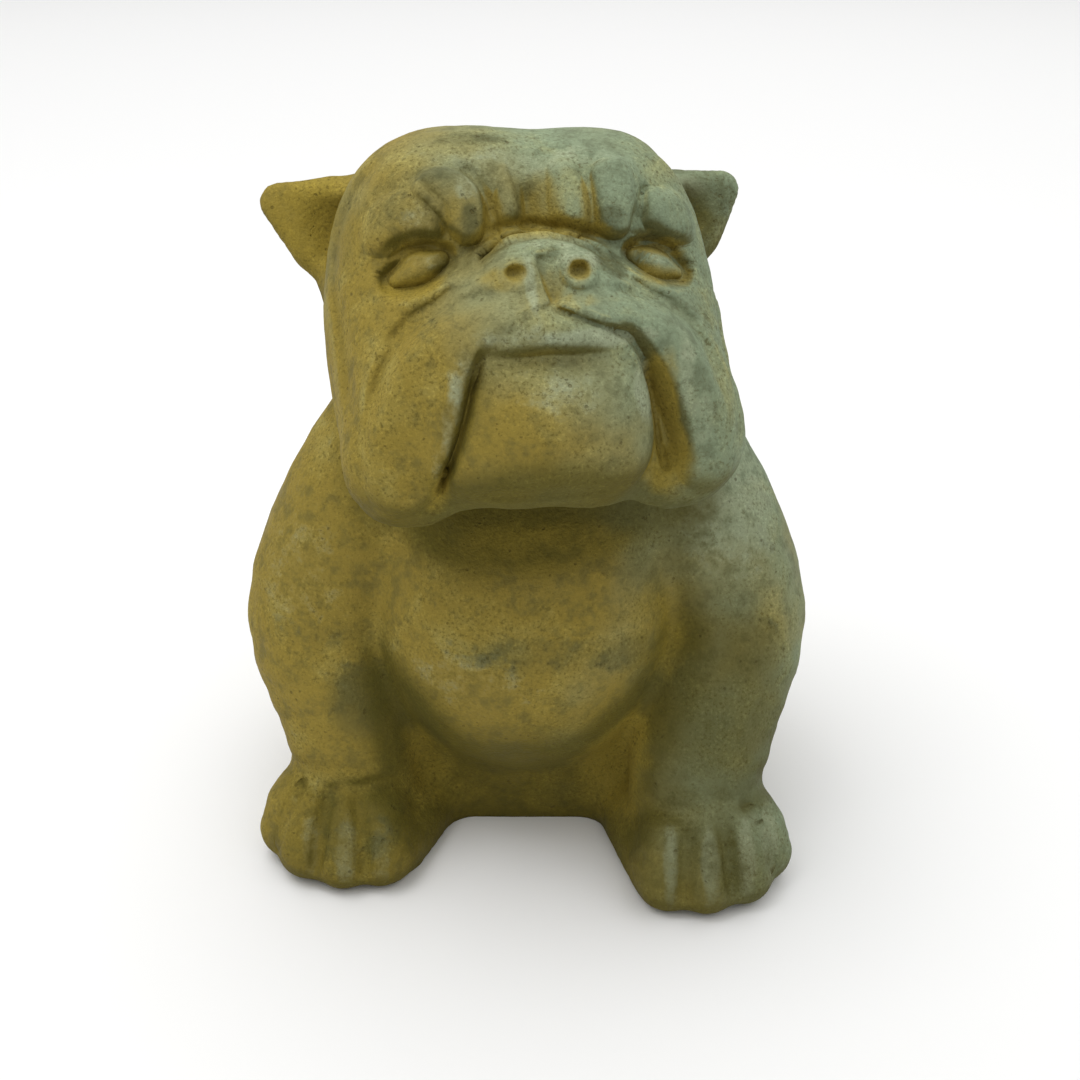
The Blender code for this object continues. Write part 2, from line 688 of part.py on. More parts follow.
def drawn_to_form(mesh, passes):
    """Moves the skin's corners onto the figure's surface, easing them along it between passes."""
    corners = corner_array(mesh)
    edges = np.empty(len(mesh.edges) * 2, int)
    mesh.edges.foreach_get("vertices", edges)
    edges = edges.reshape(-1, 2)
    step = 0.12
    for i in range(passes):
        if i < passes - 3:
            corners = relaxed(corners, edges, 0.5)
        depth = statue_depth(corners)
        slope = np.column_stack(
            [(statue_depth(corners + step * axis) - depth) / step for axis in np.eye(3)]
        )
        steepness = np.maximum((slope**2).sum(axis=1), 0.4)
        corners = corners - slope * (np.clip(depth, -1.5, 1.5) / steepness)[:, None]
    mesh.vertices.foreach_set("co", corners.ravel())
    mesh.update()


def faceted(mesh):
    """The skin thinned to its facets, the last of them taken from everywhere but the face."""
    return thinned(thinned(mesh, FIRST_FACET_COUNT), FACET_COUNT, keep_face=True)


def thinned(mesh, facets, keep_face=False):
    holder = bpy.data.objects.new("holder", mesh)
    bpy.context.scene.collection.objects.link(holder)
    decimate = holder.modifiers.new("Decimate", "DECIMATE")
    triangles = sum(len(p.vertices) - 2 for p in mesh.polygons)
    decimate.ratio = min(1.0, facets / triangles)
    decimate.use_collapse_triangulate = True
    if keep_face:
        origin, axes = head_frame()
        local = (corner_array(mesh) - origin) @ axes
        face = (local[:, 2] > FACE_FROM) & (np.abs(local[:, 1]) < 26)
        group = holder.vertex_groups.new(name="face")
        group.add(np.flatnonzero(face).tolist(), 1.0, "REPLACE")
        decimate.vertex_group = group.name
        decimate.invert_vertex_group = True
    fewer = evaluated_mesh(holder)
    bpy.data.objects.remove(holder)
    return fewer


def stood_on_ground(mesh):
    """Cuts the figure off flat at the ground, closes the soles and scales modules to metres."""
    bm = bmesh.new()
    bm.from_mesh(mesh)
    geometry = bm.verts[:] + bm.edges[:] + bm.faces[:]
    bmesh.ops.bisect_plane(
        bm, geom=geometry, dist=0.02, plane_co=(0, 0, 0), plane_no=(0, 0, -1), clear_outer=True
    )
    for vert in bm.verts:
        if vert.co.z < 0.05:
            vert.co.z = 0.0
    rim = [edge for edge in bm.edges if edge.is_boundary]
    bmesh.ops.holes_fill(bm, edges=rim, sides=0)
    bmesh.ops.triangulate(bm, faces=[f for f in bm.faces if len(f.verts) > 3])
    bmesh.ops.recalc_face_normals(bm, faces=bm.faces)
    bmesh.ops.scale(bm, vec=(MODULE, MODULE, MODULE), verts=bm.verts)
    bm.to_mesh(mesh)
    bm.free()


def stone():
    material = bpy.data.materials.new("cast_stone")
    material.use_nodes = True
    surface = material.node_tree.nodes["Principled BSDF"]
    surface.inputs["Base Color"].default_value = STONE_COLOUR
    surface.inputs["Roughness"].default_value = STONE_ROUGHNESS
    surface.inputs["Metallic"].default_value = 0.0
    return material


def main():
    for thing in list(bpy.data.objects):
        bpy.data.objects.remove(thing)
    skin = blockout()
    drawn_to_form(skin, CLAY_PASSES)
    skin = faceted(skin)
    stood_on_ground(skin)
    statue = bpy.data.objects.new("bulldog", skin)
    skin.materials.clear()
    skin.materials.append(stone())
    collection = bpy.data.collections.new("Bulldog statue")
    bpy.context.scene.collection.children.link(collection)
    collection.objects.link(statue)
    skin.shade_smooth()
    skin.set_sharp_from_angle(angle=math.radians(50))
    return statue


main()
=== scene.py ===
import math

import bmesh
import bpy
import numpy as np
from mathutils import Matrix, Vector, noise


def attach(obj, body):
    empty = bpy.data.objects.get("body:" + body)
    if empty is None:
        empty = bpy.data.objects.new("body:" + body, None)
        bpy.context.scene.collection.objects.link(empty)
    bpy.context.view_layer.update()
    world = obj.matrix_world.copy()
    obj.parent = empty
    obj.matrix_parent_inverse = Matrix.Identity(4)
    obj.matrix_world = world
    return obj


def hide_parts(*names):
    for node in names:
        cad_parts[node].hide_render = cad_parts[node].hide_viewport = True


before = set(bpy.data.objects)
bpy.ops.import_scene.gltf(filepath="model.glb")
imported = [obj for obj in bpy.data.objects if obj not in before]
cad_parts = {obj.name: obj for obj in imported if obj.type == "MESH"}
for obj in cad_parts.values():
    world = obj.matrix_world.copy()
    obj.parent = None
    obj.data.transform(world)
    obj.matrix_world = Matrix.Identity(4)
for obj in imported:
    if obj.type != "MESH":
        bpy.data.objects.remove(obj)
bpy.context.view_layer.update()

# Garden statue of a seated bulldog, cast in one piece of stone.
# The dog faces -Y and +Z is up. Places and sizes of the figure are in modules of 4 mm,
# about a hundredth of its height. Left is the dog's left, at +X.
print("frame loaded")

figure = {
    "height": 0.403,  # metres
    "modulesTall": 100.75,
    "headAt": (0.0, -10.0, 78.0),
    "headTurn": 9.0,  # degrees to the dog's left
    "headLift": 20.0,
    "headReach": 50.0,  # no part of the head is further from its middle
    "neckSoft": 2.5,  # how softly the head joins the body
    "leftPawLead": 5.0,  # how far the left forepaw stands ahead
}
module = figure["height"] / figure["modulesTall"]
left, right = 1, -1
far = 1e3


# Forms, each with its distance from points, negative inside
def turned(degrees):
    x, y, z = (math.radians(d) for d in degrees)
    return np.array(
        Matrix.Rotation(z, 3, "Z") @ Matrix.Rotation(y, 3, "Y") @ Matrix.Rotation(x, 3, "X")
    )


def smoothCurve(points, steps=4):
    p = np.array(points, float)
    p = np.vstack([2 * p[0] - p[1], p, 2 * p[-1] - p[-2]])
    fine = []
    for i in range(1, len(p) - 2):
        for t in np.arange(steps) / steps:
            straight = 2 * p[i] + (p[i + 1] - p[i - 1]) * t
            bend = (2 * p[i - 1] - 5 * p[i] + 4 * p[i + 1] - p[i + 2]) * t**2
            twist = (3 * p[i] - p[i - 1] - 3 * p[i + 1] + p[i + 2]) * t**3
            fine.append(0.5 * (straight + bend + twist))
    fine.append(p[-2])
    return np.array(fine)


class Egg:
    def __init__(self, at, half, turn=(0, 0, 0)):
        self.at = np.array(at, float)
        self.half = np.array(half, float)
        self.axes = turned(turn)
        self.reach = max(half)

    def distance(self, points):
        local = (points - self.at) @ self.axes / self.half
        outer = np.linalg.norm(local, axis=1)
        inner = np.linalg.norm(local / self.half, axis=1)
        return outer * (outer - 1) / np.maximum(inner, 1e-9)

    def balls(self):
        return [(self.at, self.half, self.axes)]


class Block:
    def __init__(self, at, half, rounding, turn=(0, 0, 0)):
        self.at = np.array(at, float)
        self.half = np.array(half, float)
        self.rounding = rounding
        self.axes = turned(turn)
        self.reach = float(np.linalg.norm(half))

    def distance(self, points):
        over = np.abs((points - self.at) @ self.axes) - (self.half - self.rounding)
        outside = np.linalg.norm(np.maximum(over, 0), axis=1)
        return outside + np.minimum(over.max(axis=1), 0) - self.rounding

    def balls(self):
        core = self.half - self.rounding
        thirds = (-1, 0, 1)
        size = np.minimum(np.full(3, max(self.rounding, core.max() * 0.6)), self.half)
        return [
            (self.at + self.axes @ (core * (i, j, k) * 0.8), size, self.axes)
            for i in thirds
            for j in thirds
            for k in thirds
        ]


class Limb:
    def __init__(self, path, radii, squash=(1, 1, 1)):
        fine = smoothCurve(np.column_stack([np.array(path, float), radii]), 3)
        self.path = fine[:, :3]
        self.radii = fine[:, 3]
        self.squash = np.array(squash, float)
        self.at = (self.path.max(axis=0) + self.path.min(axis=0)) / 2
        self.reach = np.linalg.norm(np.ptp(self.path, axis=0)) / 2 + self.radii.max()

    def distance(self, points):
        scaled = points / self.squash
        path = self.path / self.squash
        best = np.full(len(points), far)
        for i in range(len(path) - 1):
            along = path[i + 1] - path[i]
            share = np.clip((scaled - path[i]) @ along / (along @ along), 0, 1)
            radius = self.radii[i] + share * (self.radii[i + 1] - self.radii[i])
            gap = np.linalg.norm(scaled - path[i] - share[:, None] * along, axis=1)
            best = np.minimum(best, gap - radius)
        return best * self.squash.min()

    def balls(self):
        found = []
        for i in range(len(self.path) - 1):
            for share in (0, 0.5, 1):
                centre = self.path[i] + share * (self.path[i + 1] - self.path[i])
                radius = self.radii[i] + share * (self.radii[i + 1] - self.radii[i])
                found.append((centre, radius * self.squash, np.eye(3)))
        return found


def alongPath(points, path):
    # distance to the path, share of its length, and the side in 2D: +1 on its left
    lengths = np.linalg.norm(np.diff(path, axis=0), axis=1)
    starts = np.concatenate([[0], np.cumsum(lengths)])
    distance = np.full(len(points), far)
    share = np.zeros(len(points))
    side = np.ones(len(points))
    for i in range(len(path) - 1):
        along = path[i + 1] - path[i]
        t = np.clip((points - path[i]) @ along / (along @ along), 0, 1)
        off = points - path[i] - t[:, None] * along
        d = np.linalg.norm(off, axis=1)
        closer = d < distance
        distance[closer] = d[closer]
        share[closer] = (starts[i] + t[closer] * lengths[i]) / starts[-1]
        if path.shape[1] == 2:
            side[closer] = np.sign(along[0] * off[closer, 1] - along[1] * off[closer, 0])
    return distance, share, side


def eased(t):
    t = np.clip(t, 0, 1)
    return t * t * (3 - 2 * t)


def tapered(share, ends):
    return eased(np.minimum(share, 1 - share) / ends)


def softMin(a, b, soft):
    overlap = np.maximum(soft - np.abs(a - b), 0) / soft
    return np.minimum(a, b) - overlap**2 * soft / 4


def mirrored(points, side):
    return [(side * p[0], *p[1:]) for p in points]


class Clay:
    frontFade = 2.5  # modules over which a stroke on the face fades out behind
    addMargin = 6  # how far round a form the field still takes note of it
    cutMargin = 2

    def __init__(self, points):
        self.points = points
        self.depth = np.full(len(points), far)

    def near(self, form, margin):
        gap = np.linalg.norm(self.points - form.at, axis=1)
        return np.flatnonzero(gap < form.reach + margin)

    def add(self, *forms, soft):
        for form in forms:
            near = self.near(form, soft + self.addMargin)
            here = form.distance(self.points[near])
            self.depth[near] = softMin(self.depth[near], here, soft)

    def cut(self, *forms, soft):
        for form in forms:
            near = self.near(form, soft + self.cutMargin)
            here = form.distance(self.points[near])
            self.depth[near] = -softMin(-self.depth[near], here, soft)

    def onFront(self, path, margin, behind):
        acrossUp, forward = self.points[:, :2], self.points[:, 2]
        inside = (acrossUp > path.min(axis=0) - margin) & (acrossUp < path.max(axis=0) + margin)
        near = np.flatnonzero(inside.all(axis=1) & (forward > behind - self.frontFade))
        return near, eased((forward[near] - behind) / self.frontFade + 1)

    # a groove along a path in space; a negative depth is a ridge
    def groove(self, path, width, depth, ends=0.25):
        fine = smoothCurve(path)
        low, high = fine.min(axis=0) - 3 * width, fine.max(axis=0) + 3 * width
        near = np.flatnonzero(((self.points > low) & (self.points < high)).all(axis=1))
        distance, share, _ = alongPath(self.points[near], fine)
        self.depth[near] += depth * tapered(share, ends) * np.exp(-((distance / width) ** 2))

    # a groove on the front of the head, on a path of (across, up); its right slope may differ
    def scored(self, path, width, depth, behind, ends=0.25, widening=1.0, rightWidth=None):
        fine = smoothCurve(path)
        rightWidth = rightWidth or width
        near, front = self.onFront(fine, 3 * max(width, rightWidth) * max(widening, 1), behind)
        distance, share, side = alongPath(self.points[near, :2], fine)
        spread = np.where(side > 0, width, rightWidth) * (1 + (widening - 1) * share)
        self.depth[near] += depth * front * tapered(share, ends) * np.exp(-((distance / spread) ** 2))

    # a fold that stands up on the left of the path and sinks on its right
    def lapped(self, path, rise, spread, behind, edge=0.35, ends=0.2):
        fine = smoothCurve(path)
        near, front = self.onFront(fine, 3 * spread, behind)
        distance, share, side = alongPath(self.points[near, :2], fine)
        offset = distance * side / edge
        step = offset / np.sqrt(1 + offset**2) * np.exp(-((distance / spread) ** 2))
        self.depth[near] -= rise * front * tapered(share, ends) * step

    # a lobe raised on the front, that climbs to its height over this edge inside its outline;
    # start is the share of its path over which it rises from nothing
    def padded(self, path, radii, height, edge, behind, start=0.0):
        fine = smoothCurve(np.column_stack([np.array(path, float), radii]))
        near, front = self.onFront(fine[:, :2], max(radii), behind)
        points = self.points[near, :2]
        if start:
            front = front * eased(alongPath(points, fine[:, :2])[1] / start)
        inside = np.full(len(points), -far)
        for i in range(len(fine) - 1):
            begin, along = fine[i, :2], fine[i + 1, :2] - fine[i, :2]
            t = np.clip((points - begin) @ along / (along @ along), 0, 1)
            radius = fine[i, 2] + t * (fine[i + 1, 2] - fine[i, 2])
            gap = np.linalg.norm(points - begin - t[:, None] * along, axis=1)
            inside = np.maximum(inside, radius - gap)
        climb = np.clip(inside / edge, 0, 1)
        self.depth[near] -= height * front * climb * (2 - climb)


# The body
body = {
    "trunkSoft": 9,
    "haunchSoft": 5,
    "chestSoft": 6,
    "keelSoft": 4,
    "legSoft": 2.0,
    # toes from the outside in: where the tip is, its height and its radius
    "toes": [
        (34.4, -20.2, 4.2, 4.6),
        (31.2, -24.6, 4.0, 4.5),
        (26.0, -26.6, 3.7, 4.3),
        (20.6, -26.0, 3.7, 4.3),
    ],
    "toeSoft": 2.2,
    "toeGap": 2.0,  # how deep the grooves between the toes are
    "thighCrease": 1.5,
    "wristHeight": 8.2,
}


def trunkForms():
    return [
        Egg((0, 3, 34), (29, 23, 32)),
        Egg((0, 0, 60), (22, 16, 17)),
        Limb([(0, 8, 64), (0, 17, 48), (0, 22, 32)], [14, 17, 18]),
        Egg((0, 14, 22), (26, 22, 25)),
        Block((0, 8, 7), (20, 21, 13), 4),
    ]


def chestForms():
    return Egg((0, -5, 50), (24, 15, 17)), Egg((-0.4, -11.3, 34.4), (20.8, 16.2, 22.7))


def haunchForms(side):
    return [
        Egg((side * 20, 13, 18), (13.5, 18, 18), (0, 0, side * -10)),
        Limb(mirrored([(25, 8, 4), (25, -2, 4), (26, -8, 3.6)], side), [5.5, 5.5, 4.6]),
    ]


# How far a forepaw stands ahead, and how far in towards the middle
def pawPlace(side):
    lead = figure["leftPawLead"] if side == left else 0.0
    return lead, 1.3 if side == left else 0.3


def forelegForm(side):
    lead, tuck = pawPlace(side)
    path = [
        (13, 1, 60),
        (21.5, -3, 47),
        (27.4, -6.6, 32.6),
        (25.9 - tuck / 2, -12 - 0.4 * lead, 20.8),
        (25 - tuck, -15 - 0.8 * lead, 11),
    ]
    slim = 0.0 if side == left else 0.6  # the dog's right foreleg is a little slimmer
    return Limb(mirrored(path, side), [12.5, 13.0, 12.4, 10.7 - slim, 9.0 - slim])


def pawForms(side):
    lead, tuck = pawPlace(side)
    wrist = np.array([25.5 - tuck, -13.5 - lead, body["wristHeight"]])
    inner = [(16.5, -9, 2), (17.8, -15 - lead / 2, 2.5), (19.4, -21.5 - lead, 2.6)]
    pads = [
        Egg((side * 26, -16 - lead, 3.2), (10.3, 9, 7.2)),
        Limb(mirrored(inner, side), [7, 6.2, 5.2]),
    ]
    toes = []
    for x, y, z, radius in body["toes"]:
        tip = np.array([x - tuck, y - lead, z])
        knuckle = wrist + (tip - wrist) * (0.74, 0.68, 0)
        knuckle[2] = z + 3.8
        toes.append(Limb(mirrored([wrist, knuckle, tip], side), [5.2, radius * 1.08, radius * 0.95]))
    return pads, toes


def tailForm():
    return Limb([(0, 32, 13), (2.5, 36.5, 12), (4.5, 36.5, 16)], [5, 3.6, 2.6])


def bodyDepth(points):
    clay = Clay(points)
    clay.add(*trunkForms(), soft=body["trunkSoft"])
    for side in (left, right):
        clay.add(*haunchForms(side), soft=body["haunchSoft"])
    breast, keel = chestForms()
    clay.add(breast, soft=body["chestSoft"])
    clay.add(keel, soft=body["keelSoft"])
    for side in (left, right):
        clay.add(forelegForm(side), soft=body["legSoft"])
        pads, toes = pawForms(side)
        clay.add(*pads, soft=3)
        for toe in toes:
            clay.add(toe, soft=body["toeSoft"])
    clay.add(tailForm(), soft=3)
    for side in (left, right):
        wristAndToes(clay, side)
        thighAndHindToes(clay, side)
    return clay.depth


def wristAndToes(clay, side):
    lead, tuck = pawPlace(side)
    fold = [(16, -18, 11.5), (20, -22.5, 13), (25, -24.2, 13.6), (29, -23.8, 13.4)]
    clay.groove([(side * x, y - lead, z) for x, y, z in fold], width=1.3, depth=0.7, ends=0.45)
    tips = body["toes"]
    for a, b in zip(tips, tips[1:]):
        x, y = (a[0] + b[0]) / 2 - tuck, (a[1] + b[1]) / 2 - lead
        wrist = (25.5 - tuck, -13.5 - lead)
        # share of the way from the wrist to between the two tips, and height
        drop = ((0.7, 13.6), (0.85, 11.9), (1.0, 10.3), (1.13, 8.3), (1.24, 5.5), (1.3, 2.5))
        line = [
            (side * (wrist[0] + (x - wrist[0]) * share), wrist[1] + (y - wrist[1]) * share, z)
            for share, z in drop
        ]
        clay.groove(line, width=0.9, depth=body["toeGap"])


def thighAndHindToes(clay, side):
    thigh = [(31, -6, 5), (33.5, -4, 14), (33, 1, 25), (31, 9, 33), (27, 18, 35), (22, 27, 32)]
    clay.groove(mirrored(thigh, side), width=2.2, depth=body["thighCrease"])
    hindToes = [(33, -9, 5.5), (31, -12, 3), (30, -13, 1)]
    clay.groove(mirrored(hindToes, side), width=0.9, depth=1.0)


# The head, in its own frame: across to the dog's left, up, and forward out of the face
head = {
    "skullSoft": 4.5,
    "furrow": 1.25,
    "betweenLobes": 0.85,
    "eyeBulge": 2.3,
    "underEye": 0.6,
    "jowlEdge": 0.9,
    "nostrilPit": 1.3,
    "mouthCut": 1.6,
}


def headFrame():
    turn, lift = math.radians(figure["headTurn"]), math.radians(figure["headLift"])
    ahead = [math.sin(turn) * math.cos(lift), -math.cos(turn) * math.cos(lift), math.sin(lift)]
    forward, across = np.array(ahead), np.array([math.cos(turn), math.sin(turn), 0.0])
    return np.array(figure["headAt"]), np.column_stack([across, np.cross(forward, across), forward])


def skullForms():
    forms = [
        Block((-0.5, 0.9, -4.5), (22.9, 19.9, 16.8), 13),
        Egg((0, -3, 7.5), (16.5, 12, 12.5)),
        Egg((0, 12.6, 0.5), (9, 8.8, 10.5)),
    ]
    for side, browUp, browWide in ((left, 12.2, 9.9), (right, 13.3, 11.2)):
        forms.append(Egg((side * 8.8, browUp, 1.5), (browWide, 9.2, 11.8)))
        forms.append(Egg((side * 13.6, -6.5, 3), (10.6, 15, 12.4)))
        forms.append(Egg((side * 14.4 - 0.3, 2, -2), (8.9, 12, 12)))
    return forms


def jowlForm(side):
    # the dog's left jowl stands further out, and the inner edge of its right one is drawn outwards
    out, lean = (0.6, 0.0) if side == left else (0.0, 0.4)
    path = [
        (0.2, 1.9, 17.0),
        (3.6, 1.0, 17.0),
        (7.5, -1.0, 16.4),
        (12.3 + out + lean / 2, -5.2, 14.4),
        (15.8 + out + lean, -10.5, 12.4),
        (17.2 + out / 2 + lean, -16 + out, 11.0),
        (16.8 + lean, -18.0 + out, 11.0),
    ]
    radii = [3.2, 4.0, 5.0, 5.9 - lean / 2, 6.7 - lean, 7.0 - lean, 6.6 - lean]
    return Limb(mirrored(path, side), radii)


def cheekForm(side):
    path = [(9.0, 0.6, 11.6), (13.6, -2.0, 10.8), (16.8, -6.4, 8.8), (18.2, -12.0, 6.6)]
    return Limb(mirrored(path, side), [4.2, 4.6, 5.0, 5.0])


def chinForms():
    return [
        Block((-1.0, -12.6, 12.2), (13.0, 8.9, 10.6), 6.0, (0, -5, 0)),
        Egg((-0.6, -12.4, 12.2), (12.4, 10.0, 12.8)),
    ]


def throatFoldForm():
    path = [
        (-14, -19.8, 11.5),
        (-9, -19.3, 13.5),
        (-4.5, -19.2, 14.6),
        (0, -18.8, 14.6),
        (4.8, -20.5, 14.6),
        (9, -20.0, 13.5),
        (14, -20.0, 11.5),
    ]
    return Limb(path, [3.6, 2.7, 2.4, 2.3, 2.5, 2.6, 3.6])


def lipForm():
    path = [
        (-8.2, -4.0, 19.6),
        (-4.5, -2.3, 21.2),
        (0, -2.1, 21.8),
        (4.5, -3.0, 21.4),
        (8.3, -5.0, 19.6),
    ]
    return Limb(path, [2.5, 2.8, 2.7, 2.5, 2.0])


def noseForm():
    return Egg((0, 4.4, 15.2), (8.0, 4.4, 5.0))


def earForms(side):
    flap = [(21, 11.4, -8), (25.6, 13.6, -8), (29.4, 15.7, -8)]
    hollow = [(23, 12.2, -4.4), (26.4, 14, -4.6), (29, 15.6, -5.4)]
    if side == left:
        flap = [(20.4, 10.6, -8), (24.7, 12.9, -8), (28.1, 15.1, -8)]
        hollow = [(22.2, 11.5, -4.4), (25.2, 13.3, -4.6), (27.7, 14.9, -5.4)]
    return (
        Limb(mirrored(flap, side), [7.6, 4.8, 2.5], (1, 1, 0.5)),
        Limb(mirrored(hollow, side), [3.6, 2.4, 1.0], (1, 1, 0.7)),
    )


def headDepth(points):
    origin, axes = headFrame()
    clay = Clay((points - origin) @ axes)
    clay.add(*skullForms(), soft=head["skullSoft"])
    for side in (left, right):
        flap, hollow = earForms(side)
        clay.add(flap, soft=3)
        clay.cut(hollow, soft=1.2)
    forehead(clay)
    for side in (left, right):
        eye(clay, side)
    for side in (left, right):
        clay.add(cheekForm(side), soft=4)
    clay.add(throatFoldForm(), soft=2.5)
    clay.add(*chinForms(), soft=2.4)
    clay.add(lipForm(), soft=2.6)
    for side in (left, right):
        clay.add(jowlForm(side), soft=2.8)
    clay.add(noseForm(), soft=1.4)
    for side in (left, right):
        cheek(clay, side)
    muzzle(clay)
    return clay.depth


def forehead(clay):
    # lobes of the frown: path, radii, height and edge
    lobes = [
        ([(-12.8, 14.8), (-11.0, 14.6), (-9.1, 13.2), (-8.2, 10.9), (-7.8, 9.6)],
         [1.5, 2.5, 2.9, 2.4, 1.8], 2.0, 1.2),
        ([(-17.8, 9.6), (-16.0, 11.2), (-13.8, 11.4), (-12.2, 10.2)],
         [2.6, 3.3, 3.1, 1.8], 1.3, 2.6),
        ([(-3.3, 16.5), (-3.2, 13.0), (-3.0, 9.8)], [0.8, 1.4, 1.5], 1.1, 1.4),
        ([(3.6, 16.0), (4.0, 12.0), (4.2, 10.2)], [2.0, 2.4, 2.1], 1.1, 2.0),
        ([(9.2, 15.0), (9.2, 12.5), (9.0, 10.0)], [2.6, 2.5, 2.2], 1.6, 1.2),
        ([(14.8, 11.2), (16.6, 10.6), (18.2, 9.4)], [2.8, 3.3, 2.4], 1.6, 2.4),
    ]
    for path, radii, height, edge in lobes:
        clay.padded(path, radii, height, edge, behind=6)
    betweenLobes = [(-14.2, 16.0), (-12.6, 14.8), (-11.1, 12.8), (-10.1, 10.9), (-9.4, 9.4)]
    clay.scored(betweenLobes, width=0.6, depth=head["betweenLobes"], behind=6, ends=0.4)
    besideLobe = [(-9.0, 17.4), (-6.9, 15.6), (-5.7, 13.2), (-5.2, 11.3), (-5.0, 9.6)]
    clay.scored(besideLobe, width=1.0, depth=0.9, behind=6, rightWidth=0.5)
    furrow = [(-0.6, 8.2), (-0.7, 10.4), (-0.8, 12.4), (-0.9, 14.4), (-1.0, 16.2)]
    clay.scored(furrow, width=0.7, depth=head["furrow"], behind=6, ends=0.45, rightWidth=2.1)
    nosetop = [(-6.8, 9.2), (-1.6, 10.0), (1.5, 9.6), (4.9, 8.9), (9.2, 7.4)]
    clay.scored(nosetop, width=0.8, depth=1.2, behind=8)
    crest = [(7.2, 17.2), (9.8, 17.3), (11.8, 15.9), (11.9, 14), (11.6, 12), (11.4, 9.2)]
    clay.scored(crest, width=0.6, depth=-0.5, behind=6, ends=0.3)
    clay.scored([(13.4, 14.5), (12.8, 12.0), (12.4, 9.4)], width=0.7, depth=0.7, behind=6)


def eye(clay, side):
    # the dog's right eye is a little nearer the middle, and higher
    shift = (0.0, 0.0) if side == left else (-0.4, 0.6)
    line = [(x + shift[0], y + shift[1]) for x, y in ((16.8, 3.9), (14.2, 5.1), (11.5, 6.1))]
    line = mirrored(line, side)
    socket = 1.5 if side == left else 1.2
    clay.padded(line, [2.2, 3.2, 2.0], -socket, 1.4, behind=6)
    clay.padded(line, [0.9, 1.9, 1.0], head["eyeBulge"], 1.7, behind=6)
    upperLid = [(18.8, 4.6), (17.0, 6.4), (14.2, 7.5), (11.4, 7.6), (9.6, 6.8)]
    lid = 0.2 if side == left else 0.45
    clay.scored(mirrored(upperLid, side), width=0.55, depth=-lid, behind=5, ends=0.3)
    browFold = [(18.0, 7.0), (16.2, 8.4), (13.6, 8.8), (10.8, 8.2)]
    if side == left:
        browFold = [(18.8, 5.6), (17.0, 6.9), (14.4, 7.8), (12.0, 8.1), (9.8, 8.1)]
    clay.scored(mirrored(browFold, side), width=0.65, depth=0.7, behind=5, ends=0.35)
    lowerLid = [(18.4, 1.8), (15.2, 1.6), (12.4, 2.8), (9.8, 4.6)]
    clay.scored(mirrored(lowerLid, side), width=0.7, depth=-0.5, behind=5)


def cheek(clay, side):
    underEye = [(7.9, 4.6), (9.4, 3.4), (11.9, 1.9), (14.7, 0.4), (17.2, -1.8), (18.9, -4.2)]
    jowlEdge = [
        (3.4, 2.5), (8.9, 1.6), (12.8, 0.1), (16.2, -2.4),
        (18.6, -5.6), (20.0, -9.6), (20.6, -13.4),
    ]
    temple = [
        (12.2, 20.1), (17.5, 18.0), (21.4, 13.0), (23.3, 5.5),
        (22.9, -2.0), (22.6, -10.0), (22.2, -16.0),
    ]
    clay.scored(mirrored(underEye, side), width=0.75, depth=head["underEye"], behind=6)
    clay.scored(mirrored(jowlEdge, side), width=0.9, depth=head["jowlEdge"], behind=6)
    clay.scored(mirrored(temple, side), width=0.7, depth=0.6, behind=-4)


